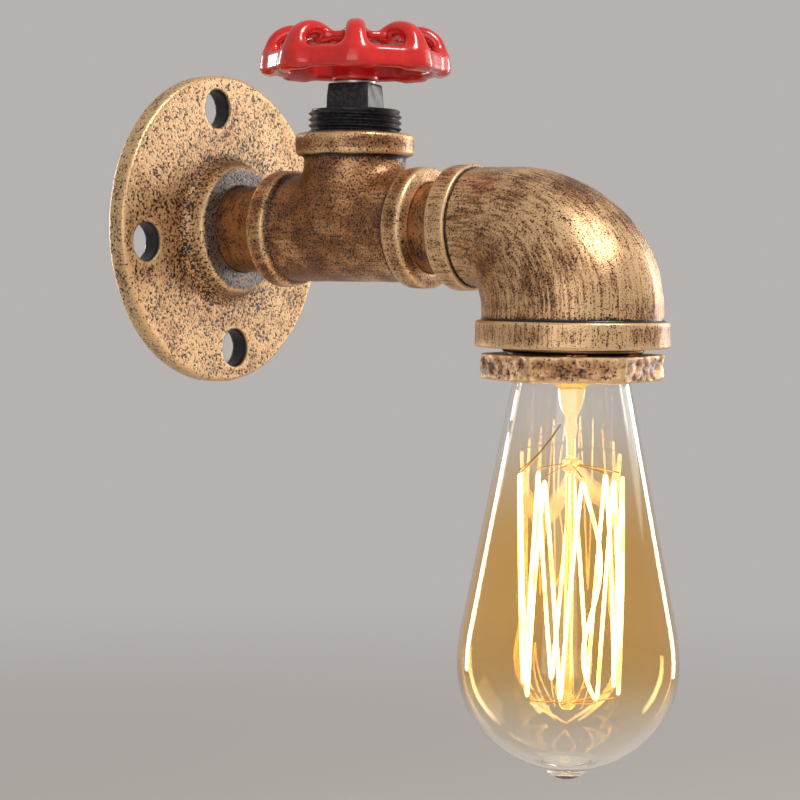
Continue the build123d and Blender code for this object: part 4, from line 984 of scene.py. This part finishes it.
def flange_field(point):
    """Millimetres to the flange's surface, from the middle of its back."""
    x, along, up = np.moveaxis(point, -1, 0)
    out, from_axis = -along, np.hypot(x, up)
    disc = rounded_box(from_axis, out - disc_depth / 2, disc_reach, disc_depth / 2, 1.2)
    slope = (hub_foot - hub_end) / (hub_out - disc_depth)
    cone = (from_axis - hub_foot + (out - disc_depth) * slope) * cos(slope)
    hub = soft_max(soft_max(cone, out - hub_out, 1.3), 0.5 - out, 0.5)
    metal = soft_min(disc, hub, 3.4) + 0.05 * lumps(point, 16.0, 4)
    recess = np.maximum(from_axis - recess_reach, out - recess_depth)
    metal = soft_max(soft_max(metal, -recess, 0.5), pipe_port - from_axis, 0.6)
    return soft_max(metal, hole_reach - hole_distance(x, up), 1.0)


flange_start, flange_end = [-disc_reach, -hub_out, -disc_reach], [disc_reach, 0, disc_reach]
points, faces = drawn_surface(flange_field, flange_start, flange_end, 0.62)
gap = hole_distance(points[:, 0], points[:, 2])
from_axis = np.hypot(points[:, 0], points[:, 2])
# Black inside the screw holes and just over their rims: a painted shade in the recesses.
hole_paint_and_shade = 1 - ((gap - hole_shade_edge) / hole_shade_fade).clip(0, 1)
steel = ((-points[:, 1] - hub_out + 0.6) / 0.5).clip(0, 1) * (from_axis < hub_end - 0.6)
points, masks = points * mm, {"hole_paint_and_shade": hole_paint_and_shade, "steel": steel}
make_piece(
    "flange_casting", points, faces, flange_gold, "root", "antique_brass", "wall_flange", **masks
)

# %% [markdown]
# ## The lamp
# The envelope is one outline turned about the lamp's axis: up the inside from the middle of the
# bowl to the seal, and down the outside again to the drawn tip. The outside is a short seat in
# the cap, a shoulder, a straight cone, a round cheek, half an ellipse and the tip, which grows
# out of the bowl with a hollow curve.

# %% Envelope
glass_low, glass_high = (np.array(corner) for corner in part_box("bulb_glass"))
tip_up, seal_up = glass_low[2] / mm, glass_high[2] / mm
belly_reach = (glass_high[0] - glass_low[0]) / 2 / mm
neck_up, neck_reach_glass, seat_reach_glass = -43.75, 16.8, 11.9
belly_up, cone_up, cone_reach = tip_up + 33.6, tip_up + 45.2, 30.7
wall, bowl_depth = 1.0, 30.7
tip_zone, tip_reach, tip_height = 13, 7.4, 4.0
flare_start, flare_rise, flare_slope = 6.2, 2.4, 0.75


def envelope_line(inset):
    """(up, radius) from the seal down to the middle of the bowl, set in by the wall."""
    seat, neck = seat_reach_glass - inset, neck_reach_glass - inset
    turn = np.linspace(0, pi / 2, 24)
    shoulder = [neck_up + (2.0 - inset) * np.cos(turn), seat + (neck - seat) * np.sin(turn)]
    share = np.linspace(0, 1, 40)[1:]
    cone_foot = cone_reach - inset
    cone = [neck_up + (cone_up - neck_up) * share, neck + (cone_foot - neck) * share]
    share = np.linspace(0, 1, 14)[1:]
    full = belly_reach - inset
    drop_to_belly = cone_up - belly_up
    cheek_rise = (cone_foot - neck) / (neck_up - cone_up) * drop_to_belly
    bulge = cheek_rise * share + (3 * (full - cone_foot) - 2 * cheek_rise) * share**2
    bulge += (cheek_rise - 2 * (full - cone_foot)) * share**3
    cheek = [cone_up - drop_to_belly * share, cone_foot + bulge]
    turn = np.linspace(0, pi / 2, 60)[1:]
    bowl = [belly_up - (bowl_depth - inset) * np.sin(turn), full * np.cos(turn)]
    seat_line = [[seal_up], [seat]]
    return np.concatenate([seat_line, shoulder, cone, cheek, bowl], axis=1).T


def with_tip(line):
    """The outside line with its tip: near the axis the lower of bowl and tip, which meet
    softly. The tip is half an ellipse that widens into a cone."""
    radius = np.linspace(tip_zone, 0, 44)
    bowl = belly_up - bowl_depth * np.sqrt(1 - (radius / belly_reach) ** 2)
    round_tip = tip_up + tip_height * (1 - np.sqrt((1 - (radius / tip_reach) ** 2).clip(0)))
    cone_tip = tip_up + flare_rise + (radius - flare_start) * flare_slope
    tip = soft_max(round_tip, cone_tip, 0.8)
    lowest = soft_min(bowl, tip, 1.0).clip(tip_up)
    above = (line[:, 1] > tip_zone) | (line[:, 0] > belly_up)
    return np.vstack([line[above], np.stack([lowest, radius], axis=1)])


outside_line = with_tip(envelope_line(0.0))
rings = np.vstack([turned(envelope_line(wall)[::-1]), turned(outside_line)]) * mm + lamp_axis
points, faces = ring_faces(rings, loop=False)
glass = clear_glass.material
make_piece("lamp_envelope", points, faces, glass, "bulb", "clear_glass", "bulb_glass")

# %% [markdown]
# ## Wires
# A wire is a circle carried along a path. Its rings are spanned by two directions square to the
# path: one is made from the outward direction of the lamp's axis, the other is square to both.
# Several wires of one kind share a mesh, but none of them touches another.

# %% Wires along paths
around_wire = np.linspace(0, 2 * pi, 10, endpoint=False)


def wire_rings(path, radius):
    """Rings round a path of points (count, 3), closed at both ends by a ring of radius 0."""
    ahead = np.gradient(path, axis=0)
    path, ahead = (np.concatenate([each[:1], each, each[-1:]]) for each in (path, ahead))
    ahead /= np.linalg.norm(ahead, axis=1, keepdims=True)
    outward = path * [1, 1, 0] + [0, lamp_out, 0]
    outward = outward - np.sum(outward * ahead, axis=1, keepdims=True) * ahead
    outward /= np.linalg.norm(outward, axis=1, keepdims=True).clip(1e-6)
    aside = np.cross(ahead, outward)
    girth = np.full(len(path), radius)
    girth[[0, -1]] = 0
    across = np.cos(around_wire)[:, None] * outward[:, None]
    across = across + np.sin(around_wire)[:, None] * aside[:, None]
    return path[:, None] + girth[:, None, None] * across


def bundle(paths, radius):
    """Points and faces of several separate wires in one mesh."""
    all_points, all_faces, start = [], [], 0
    for path in paths:
        points, faces = ring_faces(wire_rings(path, radius) * mm, loop=False)
        if signed_volume(points, faces) < 0:
            faces = [face[::-1] for face in faces]
        all_points.append(points)
        all_faces += [[start + corner for corner in face] for face in faces]
        start += len(points)
    return np.vstack(all_points), all_faces


# %% [markdown]
# ## The filament
# The lamp's light comes from one long wire that goes up and down in a cage, hooked at every
# turn. It is drawn as one path, so each strand leans from its hook to the next one round the
# ring. Every strand sways a little by its own seeded amount and one bows widely, and the path
# is then averaged four times with its neighbours, which rounds the turns at the hooks.

# %% Measures of the cage
cage_top, cage_bottom, cage_reach = tip_up + 88.8, tip_up + 24.6, 15.0
strand_count, bowed_strand, strand_reach = 16, 4, 0.52
cage_start, cage_sweep = radians(140.0), radians(330.0)
pinch_up, button_rise = -56.45, 2.2
print("cage of", strand_count, "strands,", round(cage_top - cage_bottom, 1), "mm high")


def cage_place(strand, up, radius):
    """A point of the cage at this strand, height and distance from the lamp's axis."""
    angle = cage_start + strand * cage_sweep / strand_count
    return np.array([radius * cos(angle), -lamp_out + radius * sin(angle), up])


# %% Filament
draws = np.random.default_rng(21)
share = np.linspace(0, 1, 49)[:-1, None]
strands = []
for strand in range(strand_count):
    heights = (cage_top, cage_bottom) if strand % 2 == 0 else (cage_bottom, cage_top)
    start = cage_place(strand, heights[0], cage_reach)
    end = cage_place(strand + 1, heights[1], cage_reach)
    outward = (start + end) / 2 * [1, 1, 0] + [0, lamp_out, 0]
    outward /= np.linalg.norm(outward)
    aside = np.cross([0, 0, 1], outward)
    sway = draws.uniform(-0.5, 0.7) * np.sin(pi * share) * outward
    sway = sway + draws.uniform(-0.4, 0.4) * np.sin(pi * share) * aside
    if strand == bowed_strand:
        sway = sway + 3.6 * np.sin(2 * pi * share**1.3) * aside
    strands.append(start + share * (end - start) + sway)
path = np.vstack(strands)
for _ in range(4):
    path[1:-1] = (path[:-2] + 2 * path[1:-1] + path[2:]) / 4
points, faces = bundle([path], strand_reach)
lit = lit_filament.material
make_piece("lit_cage", points, faces, lit, "bulb", "glowing_filament", "filament")

# %% [markdown]
# ## Leads and hooks
# Two stiff leads rise from the pinch of the stem to the ends of the filament. Fine hooks spread
# from the stem's two buttons to the turns of the cage, at every second strand above and at the
# others below. All of them are bowed a little by their own weight or by the filament's pull: a
# straight run less a parabola.

# %% Leads and anchors
bow = np.linspace(0, 1, 15)[:, None]


def bowed(start, end, sag):
    """A path from start to end that dips by sag in the middle: 4 sag s (1 - s) at share s."""
    return start + bow * (end - start) - np.array([0, 0, 4 * sag]) * bow * (1 - bow)


leads = []
for strand, sag in ((0, 0.9), (strand_count, 1.5)):
    start = cage_place(strand, pinch_up, 3.1)
    leads.append(bowed(start, cage_place(strand, cage_top + 0.2, cage_reach), sag))
points, faces = bundle(leads, 0.24)
nickel, molybdenum = slot_finish["nickel_wire"], slot_finish["molybdenum_wire"]
make_piece("cage_leads", points, faces, nickel, "bulb", "nickel_wire", "lead_wires")
for name, node, hub_up, hook_up, first in (
    ("cage_hooks_upper", "upper_anchors", cage_top + button_rise, cage_top, 2),
    ("cage_hooks_lower", "lower_anchors", cage_bottom - button_rise, cage_bottom, 1),
):
    paths = []
    for strand in range(first, strand_count, 2):
        start, end = cage_place(strand, hub_up, 2.0), cage_place(strand, hook_up, cage_reach - 0.9)
        paths.append(bowed(start, end, 0.25 * np.sign(hook_up - hub_up)))
    points, faces = bundle(paths, 0.2)
    make_piece(name, points, faces, molybdenum, "bulb", "molybdenum_wire", node)

# %% [markdown]
# ## The glass stem
# A flare is sealed to the envelope and pinched flat where the leads pass through, and a thin
# rod with a button at each end carries the anchors. A pinched ring is wide one way and thin the
# other, by a weight that is 1 at the pinch and 0 a few millimetres off it.

# %% Stem
stem_high = span("stem_glass", 2)[1] / mm
flare_reach = span("stem_glass", 0)[1] / mm
button_radius, rod = 2.5, 1.3
lower_button = cage_bottom - button_rise
upper_button = cage_top + button_rise
stem_line = finer(rounded([
    (stem_high, 0, 0), (stem_high, flare_reach, 0.3), (stem_high - 1.0, flare_reach, 0.3),
    (stem_high - 4.0, 6.0, 3.0), (stem_high - 7.0, 4.0, 2.0),
    (pinch_up + 3.0, 3.3, 1.0), (pinch_up - 1.0, 2.6, 1.0), (pinch_up - 4.0, rod, 1.0),
    (lower_button, rod, 0), (lower_button - button_radius, 0, 0),
]), 0.5)
up, radius = stem_line.T
for button in (upper_button, lower_button):
    radius = np.maximum(radius, np.sqrt((button_radius**2 - (up - button) ** 2).clip(0)))
pinch = np.exp(-(((up - pinch_up - 1.5) / 3.2) ** 2))[:, None]
wide, thin = radius[:, None] * (1 + 0.35 * pinch), radius[:, None] * (1 - 0.45 * pinch)
face_turn = radians(34.5)
first, second = wide * np.cos(around), thin * np.sin(around)
rings = np.stack([
    first * cos(face_turn) - second * sin(face_turn),
    first * sin(face_turn) + second * cos(face_turn),
    np.repeat(up[:, None], len(around), axis=1),
], axis=-1) * mm + lamp_axis
points, faces = ring_faces(rings, loop=False)
make_piece("lamp_stem", points, faces, amber_glass.material, "bulb", "amber_glass", "stem_glass")

# %% [markdown]
# ## The floor
# The floor is a plain pale sheet well below the lamp, where it catches a soft shadow. It turns
# transparent with distance, so that it has no edge, and from beneath, so that the light can be
# looked at from below. Both are one factor that mixes the paint with a clear shader.

# %% Floor
backdrop = (0.47, 0.445, 0.43)
floor_mesh = bpy.data.meshes.new("floor")
floor_half, floor_up = 6.0, -0.34
signs = ((-1, -1), (1, -1), (1, 1), (-1, 1))
floor_points = [(x * floor_half, y * floor_half, floor_up) for x, y in signs]
floor_mesh.from_pydata(floor_points, [], [(0, 1, 2, 3)])
floor = bpy.data.objects.new("floor", floor_mesh)
bpy.context.scene.collection.objects.link(floor)
floor_finish = Finish("pale_floor", Roughness=0.95)
floor_finish.shader.inputs["Base Color"].default_value = (0.88, 0.85, 0.83, 1.0)
underside = floor_finish.wire("NewGeometry", "Backfacing")
far = floor_finish.step(floor_finish.distance(2), 0.35, 1.4).max(underside)
clear = floor_finish.node("BsdfTransparent")
blend = floor_finish.node("MixShader", sockets={0: far})
floor_finish.tree.links.new(floor_finish.shader.outputs[0], blend.inputs[1])
floor_finish.tree.links.new(clear.outputs[0], blend.inputs[2])
floor_finish.tree.links.new(blend.outputs[0], floor_finish.output.inputs[0])
floor_mesh.materials.append(floor_finish.material)
print("floor", -floor_up / mm, "mm below the pipe's axis")

# %% [markdown]
# ## The light
# The world is one pale colour. The camera, mirrors and glass see it at full strength, but it
# lights the piece at less than half, which leaves room for the lamps to model the castings. A
# warm key lamp above gives them their highlight, two weaker ones fill in from the sides, and
# two tall narrow lamps draw the bright edges of the glass.

# %% World and lamps
world = bpy.data.worlds.new("studio")
bpy.context.scene.world = world
world.use_nodes = True
background = world.node_tree.nodes["Background"]
rays = world.node_tree.nodes.new("ShaderNodeLightPath")
kinds = ("Is Camera Ray", "Is Glossy Ray", "Is Transmission Ray")
seen = [Wire(world.node_tree, rays.outputs[kind]) for kind in kinds]
ambient = 0.45
strength = (seen[0] + seen[1] + seen[2]).min(1.0) * (1.0 - ambient) + ambient
world.node_tree.links.new(strength.socket, background.inputs["Strength"])
background.inputs["Color"].default_value = (*backdrop, 1.0)


def soft_light(name, place, power, size, colour, target=(0.0, -0.08, -0.04), spread=180.0):
    """A flat lamp at a place, turned to face the target. spread is its beam in degrees."""
    data = bpy.data.lights.new(name, "AREA")
    data.shape = "RECTANGLE"
    data.energy, data.size, data.size_y, data.color = power, size[0], size[1], colour
    data.spread = radians(spread)
    lamp = bpy.data.objects.new(name, data)
    bpy.context.scene.collection.objects.link(lamp)
    lamp.location = place
    aim = Vector(target) - Vector(place)
    lamp.rotation_euler = aim.to_track_quat("-Z", "Y").to_euler()
    print(name, power, "W")


soft_light("key", (-0.05, -0.80, 0.95), 9.5, (0.32, 0.32), (1.0, 0.95, 0.88))
soft_light("right", (0.85, -0.62, 0.25), 1.1, (0.50, 0.50), (1.0, 0.96, 0.90))
soft_light("left", (-0.85, -0.45, 0.10), 1.9, (0.60, 0.60), (0.96, 0.97, 1.0))
white, lamp_middle = (1.0, 0.98, 0.95), (0.0, -0.13, -0.1)
soft_light("left_strip", (0.12, 0.80, -0.02), 0.3, (0.12, 0.6), white, lamp_middle, 50.0)
soft_light("right_strip", (0.80, -0.30, -0.02), 0.22, (0.12, 0.6), white, lamp_middle, 50.0)

# %% [markdown]
# ## The camera
# A portrait of a small object is taken from a distance with a long lens, so that the near parts
# aren't swollen. The camera stands to one side of the pipe, in front of the wall and a little
# below the pipe's axis. Three turns aim it: up from straight down, round to the light, and a
# slight roll.

# %% Camera
camera_data = bpy.data.cameras.new("camera")
camera_data.sensor_width = 36.0
camera_data.lens = 89.95
camera = bpy.data.objects.new("camera", camera_data)
bpy.context.scene.collection.objects.link(camera)
bpy.context.scene.camera = camera
camera_place = Vector((-0.49827, -0.41647, -0.01418))
azimuth, pitch, roll = radians(-55.524), radians(3.571), radians(0.5)
aim = Matrix.Rotation(azimuth, 4, "Z") @ Matrix.Rotation(pi / 2 - pitch, 4, "X")
camera.matrix_world = Matrix.Translation(camera_place) @ aim @ Matrix.Rotation(roll, 4, "Z")
camera_data.clip_start, camera_data.clip_end = 0.01, 20.0
bpy.context.scene.view_settings.view_transform = "Standard"
print("camera", round((camera_place - Vector(lamp_axis)).length, 3), "m from the lamp's axis")
